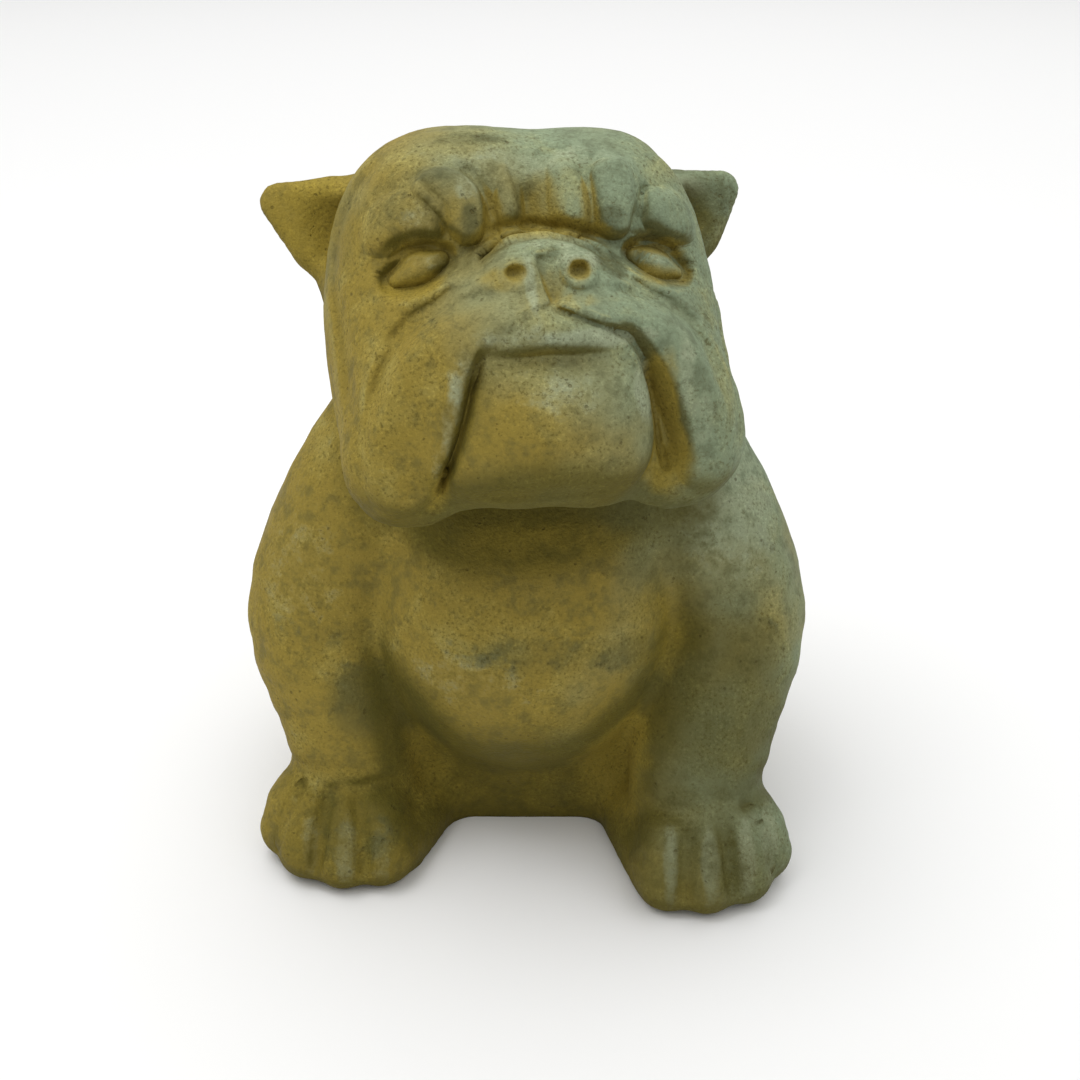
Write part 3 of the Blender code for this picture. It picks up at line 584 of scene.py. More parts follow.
def muzzle(clay):
    for side in (left, right):
        x, y = side * 3.6, 4.3
        rim, hole = (0.5, 1.1) if side == left else (0.2, 0.95)
        clay.padded([(x - 0.1, y), (x + 0.1, y)], [2.3, 2.3], rim, 0.9, behind=12)
        pit = head["nostrilPit"] * hole
        clay.padded([(x - 0.2, y), (x + 0.2, y)], [hole, hole], -pit, 1.1, behind=12)
    arch = [
        (-7.9, 4.2), (-6.7, 5.9), (-5.0, 7.1), (-3, 8.0), (0, 8.4),
        (2.7, 7.9), (4.9, 7.2), (6.7, 6.0), (7.9, 4.2),
    ]
    clay.scored(arch, width=0.55, depth=0.6, behind=8, ends=0.12)
    clay.scored([(x * 1.14, y + 1.0) for x, y in arch], width=0.6, depth=-0.35, behind=8, ends=0.15)
    # the parting below the nose: it stands up on the dog's right and falls away on its left
    philtrum = [(-1.3, 6.4), (-0.9, 4.0), (-0.5, 2.2), (0.0, 0.4)]
    clay.lapped(philtrum, rise=-0.8, spread=2.0, behind=12, edge=0.3, ends=0.15)
    plate = [(4.5, -0.2), (9.2, -1.7), (13.2, -5.2), (15.6, -10.2), (17.1, -15.4), (17.3, -18.0)]
    width = [1.6, 3.1, 4.3, 4.8, 4.7, 4.6]
    clay.padded(mirrored(plate, right), width, 1.2, 2.0, behind=6, start=0.4)
    clay.padded([(x + 1.2, y) for x, y in plate], [r * 0.9 for r in width], 1.0, 3.0, behind=6, start=0.3)
    # the lip stands over the chin with a sharp edge on the dog's right
    sharpEdge = [
        (-7.2, -3.0), (-8.2, -4.2), (-9.2, -7.6),
        (-10.4, -11.8), (-11.9, -16.0), (-13.7, -20.0),
    ]
    cut = 0.85 * head["mouthCut"]
    clay.scored(sharpEdge, width=0.6, depth=cut, behind=9, ends=0.24, rightWidth=0.4)
    softLip = [(-0.4, 0.6), (-3.0, -0.3), (-5.6, -1.9), (-7.6, -3.4)]
    clay.lapped(softLip, rise=-0.3, spread=1.6, behind=12, edge=0.6, ends=0.3)
    # on its left the lip parts from the chin by a channel with a ramp on the outside
    lipLine = [(-0.2, 0.7), (1.4, -0.3), (4.2, -1.4), (6.8, -2.4), (8.6, -3.5)]
    clay.lapped(lipLine, rise=0.6, spread=1.8, behind=12, ends=0.12)
    clay.scored(lipLine, width=0.4, depth=0.6, behind=12, ends=0.2)
    channel = [(5.6, -1.9), (8.6, -3.2), (11.2, -7.0), (12.9, -11.2), (14.1, -15.6), (14.7, -19.4)]
    cut = 0.9 * head["mouthCut"]
    clay.scored(channel, width=1.0, depth=cut, behind=8, ends=0.14, widening=1.6, rightWidth=0.5)
    crease = [(9.4, -4.4), (11.0, -8.0), (12.1, -11.6), (12.9, -15.6), (13.4, -19.0)]
    clay.scored(crease, width=0.5, depth=1.0, behind=8, ends=0.3)
    # both lines are carried on to the foot of the jowls
    clay.scored([(13.1, -16.0), (13.6, -19.4)], width=0.5, depth=1.0, behind=8)
    clay.scored([(-12.0, -16.2), (-13.8, -20.2)], width=0.55, depth=0.6, behind=8)
    underChin = [(-11.5, -19.6), (-6.0, -20.4), (0.0, -20.6), (5.0, -20.4), (8.8, -19.4), (10.8, -17.0)]
    clay.scored(underChin, width=0.7, depth=0.5, behind=13)
    underLip = [(-9.2, -4.6), (-4.8, -4.9), (0.0, -4.9), (4.8, -5.0), (9.6, -5.2)]
    clay.scored(underLip, width=0.8, depth=0.35, behind=13, ends=0.1, rightWidth=1.3)


def statueDepth(points):
    depth = bodyDepth(points)
    fromHead = np.linalg.norm(points - figure["headAt"], axis=1)
    near = np.flatnonzero(fromHead < figure["headReach"])
    depth[near] = softMin(depth[near], headDepth(points[near]), figure["neckSoft"])
    return depth


# From the field to a mesh
skin = {
    "voxel": 1.1,  # modules
    "coarsePasses": 7,
    "finePasses": 3,
    "finestPasses": 6,
    "stillPasses": 3,  # the last passes, in which corners aren't evened out
    "relaxing": 0.5,  # share of the way to the middle of its neighbours that a corner goes
    "longestStep": 1.5,  # modules that a corner moves towards the form in one pass
    "leastSlope": 0.4,  # keeps steps short where the field is flat
    "footLevel": 0.05,  # modules; what lies lower is set on the ground
    "unevenness": 0.10,  # modules, how far the cast surface wanders
    "unevennessSize": 3.5,
}


def unitBall():
    bm = bmesh.new()
    bmesh.ops.create_icosphere(bm, subdivisions=3, radius=1.0)
    corners = np.array([v.co for v in bm.verts])
    faces = np.array([[v.index for v in f.verts] for f in bm.faces])
    bm.free()
    return corners, faces


def blockout():
    origin, axes = headFrame()
    bodyForms = [*trunkForms(), *chestForms(), tailForm()]
    headForms = [*skullForms(), *chinForms(), throatFoldForm(), lipForm(), noseForm()]
    for side in (left, right):
        pads, toes = pawForms(side)
        bodyForms += [*haunchForms(side), forelegForm(side), *pads, *toes]
        headForms += [jowlForm(side), cheekForm(side), earForms(side)[0]]
    balls = [ball for form in bodyForms for ball in form.balls()]
    for form in headForms:
        for centre, half, turn in form.balls():
            balls.append((origin + axes @ centre, half, axes @ turn))
    ball, faces = unitBall()
    corners = [np.array(centre) + (ball * half) @ turn.T for centre, half, turn in balls]
    sides = [faces + len(ball) * i for i in range(len(balls))]
    mesh = bpy.data.meshes.new("blockout")
    mesh.from_pydata(np.vstack(corners).tolist(), [], np.vstack(sides).tolist())
    holder = bpy.data.objects.new("holder", mesh)
    bpy.context.scene.collection.objects.link(holder)
    remesh = holder.modifiers.new("Remesh", "REMESH")
    remesh.mode = "VOXEL"
    remesh.voxel_size = skin["voxel"]
    graph = bpy.context.evaluated_depsgraph_get()
    graph.update()
    welded = bpy.data.meshes.new_from_object(holder.evaluated_get(graph))
    bpy.data.objects.remove(holder)
    bpy.data.meshes.remove(mesh)
    return welded


def cornerArray(mesh):
    corners = np.empty(len(mesh.vertices) * 3)
    mesh.vertices.foreach_get("co", corners)
    return corners.reshape(-1, 3)


def normalArray(mesh):
    normals = np.empty(len(mesh.vertices) * 3)
    mesh.vertex_normals.foreach_get("vector", normals)
    return normals.reshape(-1, 3)


def edgeArray(mesh):
    edges = np.empty(len(mesh.edges) * 2, int)
    mesh.edges.foreach_get("vertices", edges)
    return edges.reshape(-1, 2)


def relaxed(corners, edges, amount):
    total = np.zeros_like(corners)
    count = np.zeros(len(corners))
    for a, b in ((0, 1), (1, 0)):
        for axis in range(3):
            total[:, axis] += np.bincount(edges[:, a], corners[edges[:, b], axis], len(corners))
        count += np.bincount(edges[:, a], minlength=len(corners))
    return corners + amount * (total / count[:, None] - corners)


def fieldSlope(points, depth, step=0.1):
    ahead = [statueDepth(points + step * axis) for axis in np.eye(3)]
    return np.column_stack([(there - depth) / step for there in ahead])


# Moves corners onto the figure's surface; only the chosen ones, if any are
def drawnToForm(mesh, passes, chosen=None):
    corners = cornerArray(mesh)
    edges = edgeArray(mesh)
    if chosen is None:
        chosen = np.arange(len(corners))
    for i in range(passes):
        if i < passes - skin["stillPasses"]:
            corners[chosen] = relaxed(corners, edges, skin["relaxing"])[chosen]
        points = corners[chosen]
        depth = statueDepth(points)
        slope = fieldSlope(points, depth)
        steepness = np.maximum((slope**2).sum(axis=1), skin["leastSlope"])
        step = np.clip(depth, -skin["longestStep"], skin["longestStep"]) / steepness
        corners[chosen] = points - slope * step[:, None]
    mesh.vertices.foreach_set("co", corners.ravel())
    mesh.update()


# Where the carving is fine: the face, the ears and the forepaws, and finest round its features
def finelyCarved(corners, finest=False):
    origin, axes = headFrame()
    across, up, forward = ((corners - origin) @ axes).T
    if finest:
        return (forward > 8) & (np.abs(across) < 22) & (up > -22) & (up < 18.5)
    face = (forward > 4) & (np.abs(up) < 25)
    ears = (np.abs(across) > 20) & (up > 5) & (forward > -10)
    x, y, z = corners.T
    paws = (z < 16) & (z > -1) & (y < -17) & (np.abs(x) > 13)
    return face | ears | paws


def subdivided(mesh, finest=False):
    chosen = finelyCarved(cornerArray(mesh), finest)
    bm = bmesh.new()
    bm.from_mesh(mesh)
    bm.verts.ensure_lookup_table()
    faces = [f for f in bm.faces if all(chosen[v.index] for v in f.verts)]
    edges = list({edge for f in faces for edge in f.edges})
    bmesh.ops.subdivide_edges(bm, edges=edges, cuts=1, use_grid_fill=True)
    bm.to_mesh(mesh)
    bm.free()
    mesh.update()


def roughened(mesh):
    corners = cornerArray(mesh)
    normals = normalArray(mesh)
    size = skin["unevennessSize"]
    places = [Vector(c) / size for c in corners]
    wander = np.array([noise.noise(p) + 0.5 * noise.noise(p * 2.3) for p in places])
    corners += normals * (skin["unevenness"] * wander)[:, None]
    mesh.vertices.foreach_set("co", corners.ravel())
    mesh.update()


def stoodOnGround(mesh):
    bm = bmesh.new()
    bm.from_mesh(mesh)
    geometry = bm.verts[:] + bm.edges[:] + bm.faces[:]
    bmesh.ops.bisect_plane(
        bm, geom=geometry, dist=0.02, plane_co=(0, 0, 0), plane_no=(0, 0, -1), clear_outer=True
    )
    for vert in bm.verts:
        if vert.co.z < skin["footLevel"]:
            vert.co.z = 0.0
    rim = [edge for edge in bm.edges if edge.is_boundary]
    bmesh.ops.holes_fill(bm, edges=rim, sides=0)
    bmesh.ops.triangulate(bm, faces=[f for f in bm.faces if len(f.verts) > 4])
    bmesh.ops.recalc_face_normals(bm, faces=bm.faces)
    bm.to_mesh(mesh)
    bm.free()


print("carving")
statueMesh = blockout()
drawnToForm(statueMesh, skin["coarsePasses"])
subdivided(statueMesh)
drawnToForm(statueMesh, skin["finePasses"], np.flatnonzero(finelyCarved(cornerArray(statueMesh))))
subdivided(statueMesh, finest=True)
drawnToForm(statueMesh, skin["finestPasses"], np.flatnonzero(finelyCarved(cornerArray(statueMesh))))
roughened(statueMesh)
stoodOnGround(statueMesh)
triangles = sum(len(p.vertices) - 2 for p in statueMesh.polygons)
print("carved,", triangles, "triangles")

# Where the weather has worked, and where shade and highlights are painted: per-corner values that the
# stone's look reads
weatherAndShade = {
    "closeLook": 0.9,  # modules; how far off a wall still makes a hollow
    "wideLook": 3.5,
    "broadLooks": (8, 16),
    "groundShadeHeight": 36,  # modules above the ground over which the painted shade near the ground fades out
    # places where rust-coloured damp gathers: (across, up, forward) on the head, radii, amount
    "rustOnHead": [
        ((-4.8, 3.6, 19), (2.8, 1.4, 4), 0.7), ((-3.4, 4.4, 19), (1.5, 1.5, 4), 0.7),
        ((3.4, 4.2, 19), (1.5, 1.4, 4), 0.8), ((1.0, 11.6, 12), (2.2, 4.0, 5), 0.75),
        ((-4.9, 10.8, 13), (1.2, 3, 5), 0.8), ((-9.8, 10.6, 13), (1.2, 3, 5), 0.7),
        ((5.9, 11.6, 13), (1.0, 3.0, 5), 0.65), ((0, 9.2, 13), (8, 1.2, 5), 0.7),
        ((13.8, -17.5, 14), (3.4, 4, 6), 0.9), ((13.0, -9, 16), (1.6, 7, 6), 0.9),
        ((-14, -19, 14), (2, 3, 6), 0.7), ((-25, 13, -5), (6, 6, 6), 0.9),
        ((-14.2, 3.2, 12), (4, 1.6, 5), 0.8), ((14.2, 3.4, 12), (4, 1.6, 5), 0.7),
        ((-13, 7.8, 12), (3.5, 1.0, 5), 0.4), ((3, 8.8, 14), (4, 1.0, 5), 0.4),
        ((14.6, 6.6, 12), (4, 1.0, 5), 0.5), ((3, 0.6, 18), (5, 1.2, 5), 0.6),
        ((0.5, 2.6, 19), (1.4, 2.2, 4), 0.6),
    ],
    "rustOnBody": [
        ((13, -16, 14), (6, 9, 9), 0.9), ((-15, -15, 12), (5, 8, 8), 0.5),
        ((2, -14, 6), (16, 6, 6), 0.5), ((2, -22, 51), (12, 6, 3), 0.7),
        ((18, -21, 38), (5, 6, 7), 0.6), ((-13, -20, 28), (4, 6, 6), 0.4),
    ],
    # edges and bumps rubbed pale, which also stand for painted highlights on the lip, the chin, the
    # shoulders and the toes
    "wornAndHighlitOnHead": [
        ((-10.0, -5.6, 20), (1.0, 2.6, 6), 0.6), ((-11.2, -9, 20), (0.9, 3.0, 6), 0.8),
        ((-12.3, -12.6, 19), (0.9, 3.0, 6), 0.8), ((-13.4, -16.0, 18), (0.9, 2.4, 6), 0.5),
        ((5, -3.2, 23), (6.5, 1.0, 4), 0.9), ((10.4, -9.5, 21), (1.5, 3.4, 5), 0.9),
        ((15.4, -7, 18), (1.1, 5, 6), 0.7), ((17, -13, 17), (1.4, 5, 6), 0.5),
        ((3.6, 5.6, 20), (2.6, 1.4, 4), 0.7), ((-2.2, 2.6, 20), (0.7, 3.2, 4), 0.9),
        ((-8.0, 14.4, 14), (1.6, 1.4, 5), 0.7), ((-12.6, 6.4, 14), (2.4, 1.0, 5), 0.5),
        ((14.0, 5.4, 14), (2.0, 1.2, 5), 0.6), ((-4.6, 14, 13), (1.4, 4, 6), 0.5),
        ((2, 7.6, 18), (5, 0.8, 4), 0.5), ((-13, 10.4, 13), (2.4, 2.4, 5), 0.5),
        ((22.6, 15.4, -5), (3, 1.6, 4), 0.9), ((7, 18, 10), (4, 1.6, 5), 0.5),
        ((-3, 17, 12), (7, 1.8, 6), 0.5), ((-5, -2.6, 22), (4, 1.4, 4), 0.5),
        ((3, -9, 24), (7, 2.4, 4), 0.4),
    ],
    "wornAndHighlitOnBody": [
        ((28, -13, 54), (7, 9, 10), 0.7), ((-30, -13, 44), (6, 7, 9), 0.4),
        ((-8, -26, 33), (8, 6, 4), 0.4), ((19.6, -33, 8), (1.0, 5, 5), 0.9),
        ((25, -34, 8.6), (1.2, 5, 5), 0.9), ((30, -32, 8.6), (1.2, 5, 5), 0.9),
        ((33.4, -27, 8), (1.4, 5, 5), 0.7), ((-20, -28, 7.4), (1.2, 5, 5), 0.6),
        ((-25, -29, 7.4), (1.3, 5, 5), 0.7), ((-30, -28, 7.4), (1.2, 5, 5), 0.6),
    ],
    # places darkened with painted shadow where shade falls: under the chin, jowls, ears and throat,
    # between the forelegs and low on the paws
    "paintedShadowOnHead": [
        ((-1, -20, 20), (13, 4, 9), 0.8), ((0, -21.5, 12), (16, 3, 6), 0.9),
        ((-17, -19, 12), (8, 4, 8), 0.35), ((14, -20, 12), (8, 3, 8), 0.6),
        ((-9, -12, 22), (2.2, 7, 6), 0.4), ((24, 8, -6), (6, 3, 5), 0.5),
    ],
    "paintedShadowOnBody": [
        ((26, -19, 27), (10, 9, 15), 0.9), ((-15, -16, 21), (6, 9, 12), 0.9),
        ((0, -20, 8), (20, 12, 12), 0.7), ((0, -22, 53), (16, 9, 4), 0.8),
        ((-27, -28, 5), (12, 8, 7), 0.4), ((24, -33, 4), (12, 8, 7), 0.5),
        ((18, -18, 44), (5, 8, 10), 0.5), ((14, -16, 16), (6, 9, 12), 0.8),
    ],
    "smudgeOnHead": [
        ((-10.8, 15.9, 13), (3.0, 1.0, 6), 0.8), ((-7.9, 10.6, 15), (1.0, 1.8, 6), 1.0),
        ((-16.4, 13.4, 11), (2.2, 3.4, 6), 0.5), ((-7, 20.4, 8), (4.5, 0.9, 6), 0.6),
        ((8.4, 10.4, 14), (1.5, 1.4, 6), 0.8), ((8, 16, 13), (3.0, 1.4, 6), 0.4),
        ((8.0, 5.0, 17), (1.6, 1.8, 5), 0.9), ((9.4, 7.6, 14), (2.4, 1.0, 5), 0.6),
        ((-12.5, -1.5, 16), (4.5, 3.5, 6), 0.45), ((-9, 6.6, 15), (2.4, 1.6, 5), 0.6),
        ((24, 14, -6), (6, 3, 5), 0.8), ((17, -2, 14), (4, 4, 6), 0.4), ((10, -14, 22), (5, 4, 6), 0.4),
        ((-22, 12, 4), (2, 7, 7), 0.5), ((18, -12, 14), (3, 7, 7), 0.4),
    ],
    "smudgeOnBody": [
        ((1, -27, 38), (9, 5, 2.6), 0.55), ((12, -22, 36), (5, 5, 2.4), 0.7),
        ((-22, -20, 26), (5, 6, 5), 0.9), ((-15, -18, 23), (4, 6, 8), 0.9),
        ((30, -20, 34), (5, 6, 4), 0.6), ((22, -21, 36), (4, 5, 3), 0.5),
        ((19, -26, 15), (4, 5, 2.4), 0.7), ((-27, -25, 9), (2, 5, 5), 0.7),
        ((-20, -25, 9), (3, 5, 5), 0.7), ((22, -31, 9), (2, 5, 5), 0.6),
        ((27, -32, 8), (2.4, 5, 5), 0.7), ((-28, -16, 36), (7, 6, 2), 0.5),
        ((-4, -24, 52), (10, 5, 3), 0.4), ((32, -12, 47), (4, 6, 9), 0.3),
        ((0, 31, 42), (16, 10, 6), 0.5), ((-20, 28, 22), (9, 9, 4), 0.5),
        ((22, 24, 30), (6, 10, 9), 0.5), ((33, 8, 20), (6, 9, 5), 0.5),
        ((-33, 6, 26), (6, 10, 4), 0.5), ((6, 14, 66), (10, 8, 6), 0.4),
    ],
}


# Each place is full within about half of its radii and gone at 1.8 of them
def nearness(points, places):
    total = np.zeros(len(points))
    for at, radii, amount in places:
        gap = np.linalg.norm((points - np.array(at)) / radii, axis=1)
        total = np.maximum(total, amount * eased(1.45 - gap * 0.8))
    return total


# How much of a kind of mark reaches each corner, from the places on the head and the body: rust, smudges,
# pale wear with painted highlights, and painted shadow
def spotsOf(kind, onHead, corners):
    fromHead = nearness(onHead, weatherAndShade[kind + "OnHead"])
    fromBody = nearness(corners, weatherAndShade[kind + "OnBody"])
    return np.maximum(fromHead, fromBody)


def weatheredAndShaded(mesh):
    corners = cornerArray(mesh)
    normals = normalArray(mesh)
    origin, axes = headFrame()
    onHead = (corners - origin) @ axes
    close, wide = weatherAndShade["closeLook"], weatherAndShade["wideLook"]
    here = statueDepth(corners)
    nearWall = 1 - (statueDepth(corners + normals * close) - here) / close
    wideWall = 1 - (statueDepth(corners + normals * wide) - here) / wide
    ridge = 1 - (here - statueDepth(corners - normals * close)) / close
    shade = np.zeros(len(corners))
    for broad in weatherAndShade["broadLooks"]:
        shade += 0.5 * (1 - (statueDepth(corners + normals * broad) - here) / broad)
    level = weatherAndShade["groundShadeHeight"]
    walled = np.maximum(nearWall, 0) * 3 + np.maximum(wideWall, 0) * 2.5
    values = {
        # shade, under and low paint shade on the stone: darker behind other forms, on faces turned down
        # and towards the ground
        "shade": np.clip(shade * 1.25, 0, 1),
        "under": np.clip(-normals[:, 2] * 1.3 + 0.1, 0, 1),
        "low": np.clip((level - corners[:, 2]) / level, 0, 1),
        # painted shade in crevices, from how close the walls stand
        "hollow": np.clip(nearWall * 1.6, 0, 1),
        "fold": np.clip(wideWall * 1.3, 0, 1),
        "ridge": np.clip(ridge * 1.5 - walled, 0, 1),
    }
    # pale wear that also paints highlights, and painted shadow spots, are laid on like rust and smudges
    for kind in ("rust", "wornAndHighlit", "paintedShadow", "smudge"):
        values[kind] = spotsOf(kind, onHead, corners)
    for name, value in values.items():
        layer = mesh.attributes.new(name, "FLOAT", "POINT")
        layer.data.foreach_set("value", value.astype(np.float32))


weatheredAndShaded(statueMesh)
corners = cornerArray(statueMesh) * module
statueMesh.vertices.foreach_set("co", corners.ravel())
statueMesh.update()
statueMesh.shade_smooth()
print("weatheredAndShaded")

# The stone
stoneLook = {
    "warmOlive": (0.272, 0.203, 0.036),
    "greyGreen": (0.225, 0.280, 0.172),
    "paleOlive": (0.40, 0.365, 0.125),
    # pale worn stone, also the colour of painted highlights
    "wornAndHighlitStone": (0.33, 0.37, 0.235),
    "darkSmudge": (0.062, 0.066, 0.026),
    "rust": (0.305, 0.225, 0.032),
    # dark for painted shade in crevices, and for the gaps between sand grains and for pin holes
    "hollowShadeAndPits": (0.07, 0.052, 0.008),
    "shadedOlive": (0.078, 0.066, 0.007),
    "grainLift": (1.55, 1.55, 1.6),  # how much brighter a pale sand grain is than the stone round it
    "grainPerMetre": 560,
    "blotchPerMetre": 26,
    "patchPerMetre": 9,
    "pitsPerMetre": 260,
    # how fast the stone turns from olive to grey-green: per metre to the left and up, and in patches
    "coolToLeft": 3.9,
    "coolToTop": 1.45,
    "coolPatches": 1.5,
    # how much of each colour is laid on where it lies thickest
    "paleShare": 0.6,
    "dullShare": 0.4,
    "smudgeShare": 0.7,
    "shadedShare": 0.8,
    "rustShare": 0.7,
    "hollowShadeShare": 0.3,
    "grainShare": 0.55,
    "roughness": (0.6, 0.88),
    "gloss": 0.12,
    "grainHeight": 0.0009,  # metres
    "grainStrength": 0.7,
}


class Nodes:
    def __init__(self, material):
        material.use_nodes = True
        self.tree = material.node_tree
        self.shader = self.tree.nodes["Principled BSDF"]

    def put(self, socket, value):
        if isinstance(value, bpy.types.NodeSocket):
            self.tree.links.new(value, socket)
        elif isinstance(value, tuple) and len(value) == 3 and socket.type == "RGBA":
            socket.default_value = (*value, 1)
        else:
            socket.default_value = value

    def attribute(self, name):
        node = self.tree.nodes.new("ShaderNodeAttribute")
        node.attribute_name = name
        return node.outputs["Fac"]

    def noise(self, where, scale, detail, roughness, distortion=0.0):
        node = self.tree.nodes.new("ShaderNodeTexNoise")
        values = {
            "Vector": where,
            "Scale": scale,
            "Detail": detail,
            "Roughness": roughness,
            "Distortion": distortion,
        }
        for name, value in values.items():
            self.put(node.inputs[name], value)
        return node.outputs["Fac"]

    def cells(self, where, scale):
        node = self.tree.nodes.new("ShaderNodeTexVoronoi")
        self.put(node.inputs["Vector"], where)
        self.put(node.inputs["Scale"], scale)
        return node.outputs["Distance"]

    def math(self, operation, a, b):
        node = self.tree.nodes.new("ShaderNodeMath")
        node.operation = operation
        self.put(node.inputs[0], a)
        self.put(node.inputs[1], b)
        return node.outputs[0]

    def plus(self, a, b):
        return self.math("ADD", a, b)

    def minus(self, a, b):
        return self.math("SUBTRACT", a, b)

    def times(self, a, b):
        return self.math("MULTIPLY", a, b)

    # runs smoothly from start to end as the value goes from low to high
    def ramp(self, value, low, high, start=0.0, end=1.0):
        node = self.tree.nodes.new("ShaderNodeMapRange")
        node.interpolation_type = "SMOOTHSTEP"
        values = {"Value": value, "From Min": low, "From Max": high, "To Min": start, "To Max": end}
        for name, v in values.items():
            self.put(node.inputs[name], v)
        return node.outputs["Result"]

    def mix(self, share, a, b, blend="MIX"):
        node = self.tree.nodes.new("ShaderNodeMix")
        node.data_type = "RGBA"
        node.blend_type = blend
        self.put(node.inputs[0], share)
        self.put(node.inputs[6], a)
        self.put(node.inputs[7], b)
        return node.outputs[2]


def castStone():
    look = stoneLook
    material = bpy.data.materials.new("castStone")
    n = Nodes(material)
    where = n.tree.nodes.new("ShaderNodeTexCoord").outputs["Object"]
    hollow, fold, ridge = n.attribute("hollow"), n.attribute("fold"), n.attribute("ridge")
    rust, smudge, shade = n.attribute("rust"), n.attribute("smudge"), n.attribute("shade")
    under, low, paintedShadow = n.attribute("under"), n.attribute("low"), n.attribute("paintedShadow")
    wornAndHighlit = n.attribute("wornAndHighlit")
    split = n.tree.nodes.new("ShaderNodeSeparateXYZ")
    n.put(split.inputs[0], where)
    patch = n.noise(where, look["patchPerMetre"], 3, 0.55)
    blotch = n.noise(where, look["blotchPerMetre"], 5, 0.62, 0.4)
    mottle = n.noise(where, look["blotchPerMetre"] * 4.2, 4, 0.65)
    grain = n.noise(where, look["grainPerMetre"], 2, 0.7)

    # warm olive on the dog's right and low down, grey-green patina on its left and on top
    leftward = n.times(split.outputs["X"], look["coolToLeft"])
    upward = n.times(split.outputs["Z"], look["coolToTop"])
    cool = n.plus(n.plus(leftward, upward), n.times(patch, look["coolPatches"]))
    colour = n.mix(n.ramp(cool, 0.95, 1.6), look["warmOlive"], look["greyGreen"])
    # paler where the patina is thin or rubbed, and dull in small patches
    pale = n.ramp(n.plus(blotch, n.times(ridge, 0.3)), 0.48, 0.85)
    colour = n.mix(n.times(pale, look["paleShare"]), colour, look["paleOlive"])
    dull = n.ramp(n.plus(mottle, n.times(blotch, 0.5)), 0.78, 0.55)
    colour = n.mix(n.times(dull, look["dullShare"]), colour, look["darkSmudge"])
    # rubbed places, pale from wear and from painted highlights, and dark smudges, with ragged edges
    ragged = n.plus(n.minus(blotch, 0.5), n.minus(mottle, 0.5))
    paleWearAndHighlight = n.ramp(n.plus(wornAndHighlit, n.times(ragged, 1.4)), 0.25, 1.1)
    paleWearAndHighlight = n.times(paleWearAndHighlight, n.ramp(cool, 0.4, 1.4, 0.55, 0.95))
    colour = n.mix(paleWearAndHighlight, colour, look["wornAndHighlitStone"])
    marked = n.ramp(n.plus(smudge, n.times(ragged, 1.5)), 0.3, 1.0)
    colour = n.mix(n.times(marked, look["smudgeShare"]), colour, look["darkSmudge"])
    # painted shade that darkens what faces down, stands near the ground or lies behind other forms, with
    # the painted shadow spots and some random patches
    dim = n.plus(n.times(under, 0.7), n.times(low, 0.4))
    dim = n.plus(dim, n.plus(n.times(shade, 0.9), n.times(paintedShadow, 0.8)))
    dim = n.plus(dim, n.times(n.minus(patch, 0.5), 0.5))
    shaded = n.times(n.ramp(dim, 0.1, 1.1), look["shadedShare"])
    colour = n.mix(shaded, colour, look["shadedOlive"])
    # damp rust in the hollows, and painted shade deep in them
    level = n.plus(n.plus(rust, n.times(fold, 0.5)), n.times(ragged, 0.6))
    rusty = n.times(n.ramp(level, 0.35, 1.1), look["rustShare"])
    colour = n.mix(rusty, colour, look["rust"])
    hollowShade = n.times(n.ramp(hollow, 0.4, 1.4), look["hollowShadeShare"])
    colour = n.mix(hollowShade, colour, look["hollowShadeAndPits"])
    # sand grains and pin holes, thicker in some places
    coarse = n.ramp(blotch, 0.38, 0.62, 0.35, 1.0)
    speck = n.times(n.ramp(grain, 0.54, 0.68), coarse)
    colour = n.mix(n.times(speck, look["grainShare"]), colour, look["grainLift"], "MULTIPLY")
    gap = n.times(n.ramp(grain, 0.46, 0.33), coarse)
    pits = n.ramp(n.cells(where, look["pitsPerMetre"]), 0.3, 0.16)
    pits = n.times(pits, n.ramp(mottle, 0.57, 0.64))
    colour = n.mix(n.times(n.math("MAXIMUM", gap, pits), 0.5), colour, look["hollowShadeAndPits"])
    n.put(n.shader.inputs["Base Color"], colour)

    smooth, rough = look["roughness"]
    worn = n.plus(blotch, n.times(ridge, -0.25))
    n.put(n.shader.inputs["Roughness"], n.ramp(worn, 0.3, 0.7, smooth, rough))
    n.shader.inputs["Specular IOR Level"].default_value = look["gloss"]
    height = n.plus(n.minus(grain, pits), n.times(mottle, 1.5))
    bump = n.tree.nodes.new("ShaderNodeBump")
    bump.inputs["Strength"].default_value = look["grainStrength"]
    bump.inputs["Distance"].default_value = look["grainHeight"]
    n.put(bump.inputs["Height"], height)
    n.put(n.shader.inputs["Normal"], bump.outputs["Normal"])
    return material


statueMesh.materials.clear()
statueMesh.materials.append(castStone())
statue = bpy.data.objects.new("bulldogStatue", statueMesh)
bpy.context.scene.collection.objects.link(statue)
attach(statue, "root")
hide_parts("bulldog")
print("stone finished")

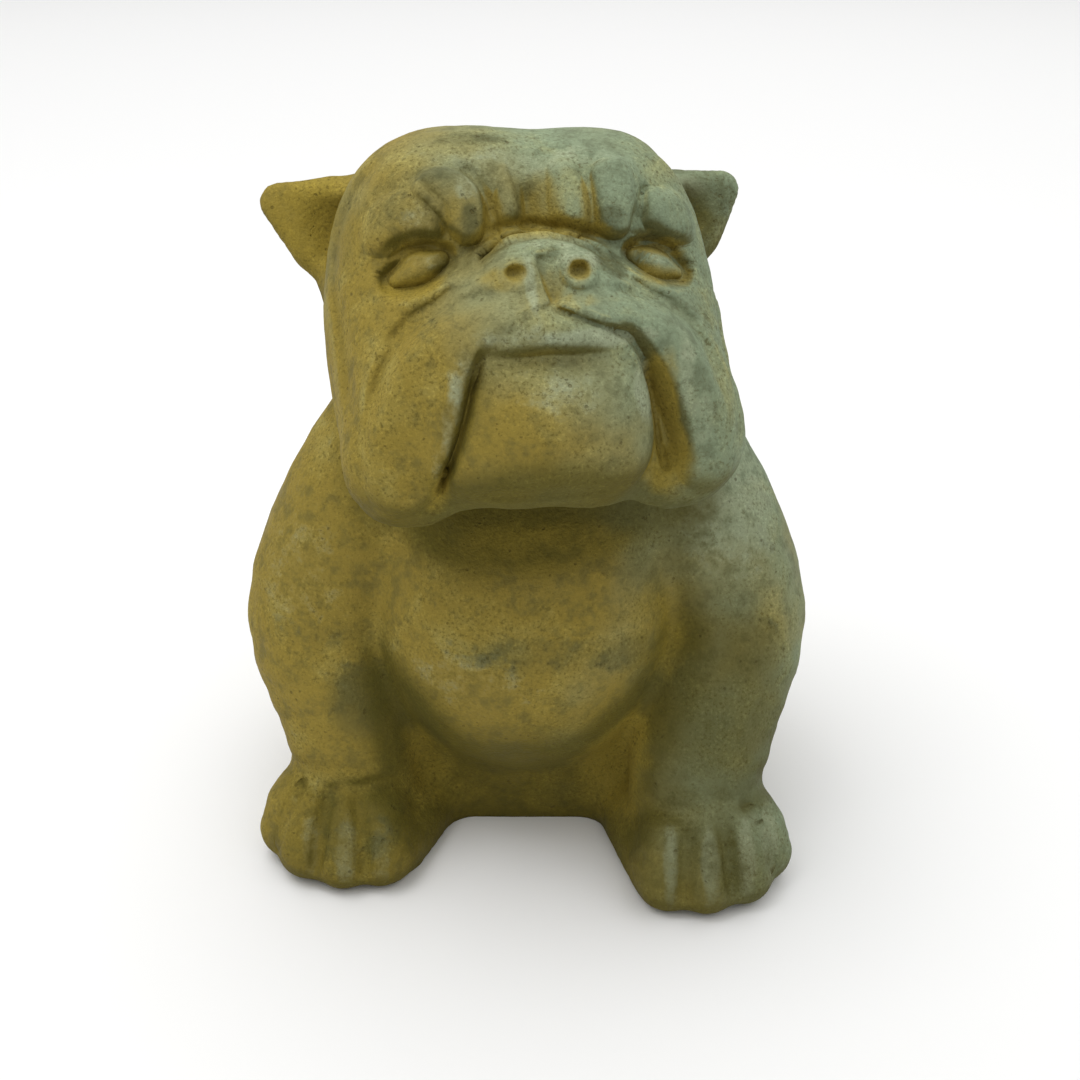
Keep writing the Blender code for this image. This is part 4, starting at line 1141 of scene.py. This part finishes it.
# The floor, the light and the camera
setting = {
    "floorColour": (0.9, 0.9, 0.895),
    "floorRoughness": 0.9,
    "floorHalf": 6.0,  # metres, from the middle to an edge
    "worldStrength": 0.44,
    "cameraAt": (0.0076, -0.70, 0.54),
    "cameraPitch": 61.6,  # degrees up from straight down
    "lens": 45.67,
    "sensorWidth": 36,
    # lights: place, size in metres and power in watts
    "ceilingLight": ((0, 1.5, 3.0), 8.0, 190),
    "keyLight": ((-0.5, -0.2, 1.5), 0.7, 5),
    "lookAt": (0, 0, 0.2),  # where the key light points
}


def softLight(name, place, size, power, aim):
    lamp = bpy.data.lights.new(name, "AREA")
    lamp.size = size
    lamp.energy = power
    light = bpy.data.objects.new(name, lamp)
    light.location = place
    light.rotation_mode = "QUATERNION"
    light.rotation_quaternion = (Vector(aim) - Vector(place)).to_track_quat("-Z", "Y")
    bpy.context.scene.collection.objects.link(light)


def plainFloor():
    half = setting["floorHalf"]
    mesh = bpy.data.meshes.new("floor")
    corners = [(-half, -half, 0), (half, -half, 0), (half, half, 0), (-half, half, 0)]
    mesh.from_pydata(corners, [], [(0, 1, 2, 3)])
    material = bpy.data.materials.new("floorPaint")
    material.use_nodes = True
    shader = material.node_tree.nodes["Principled BSDF"]
    shader.inputs["Base Color"].default_value = (*setting["floorColour"], 1)
    shader.inputs["Roughness"].default_value = setting["floorRoughness"]
    mesh.materials.append(material)
    floor = bpy.data.objects.new("floor", mesh)
    bpy.context.scene.collection.objects.link(floor)


plainFloor()
world = bpy.data.worlds.new("softRoom")
world.use_nodes = True
world.node_tree.nodes["Background"].inputs["Color"].default_value = (1, 1, 1, 1)
world.node_tree.nodes["Background"].inputs["Strength"].default_value = setting["worldStrength"]
bpy.context.scene.world = world
over = setting["ceilingLight"][0]
softLight("ceilingLight", *setting["ceilingLight"], (over[0], over[1], 0))
softLight("keyLight", *setting["keyLight"], setting["lookAt"])

camera = bpy.data.objects.new("camera", bpy.data.cameras.new("camera"))
camera.data.sensor_width = setting["sensorWidth"]
camera.data.lens = setting["lens"]
camera.location = setting["cameraAt"]
camera.rotation_euler = (math.radians(setting["cameraPitch"]), 0, 0)
bpy.context.scene.collection.objects.link(camera)
bpy.context.scene.camera = camera
bpy.context.scene.view_settings.view_transform = "Standard"
print("setting ready")
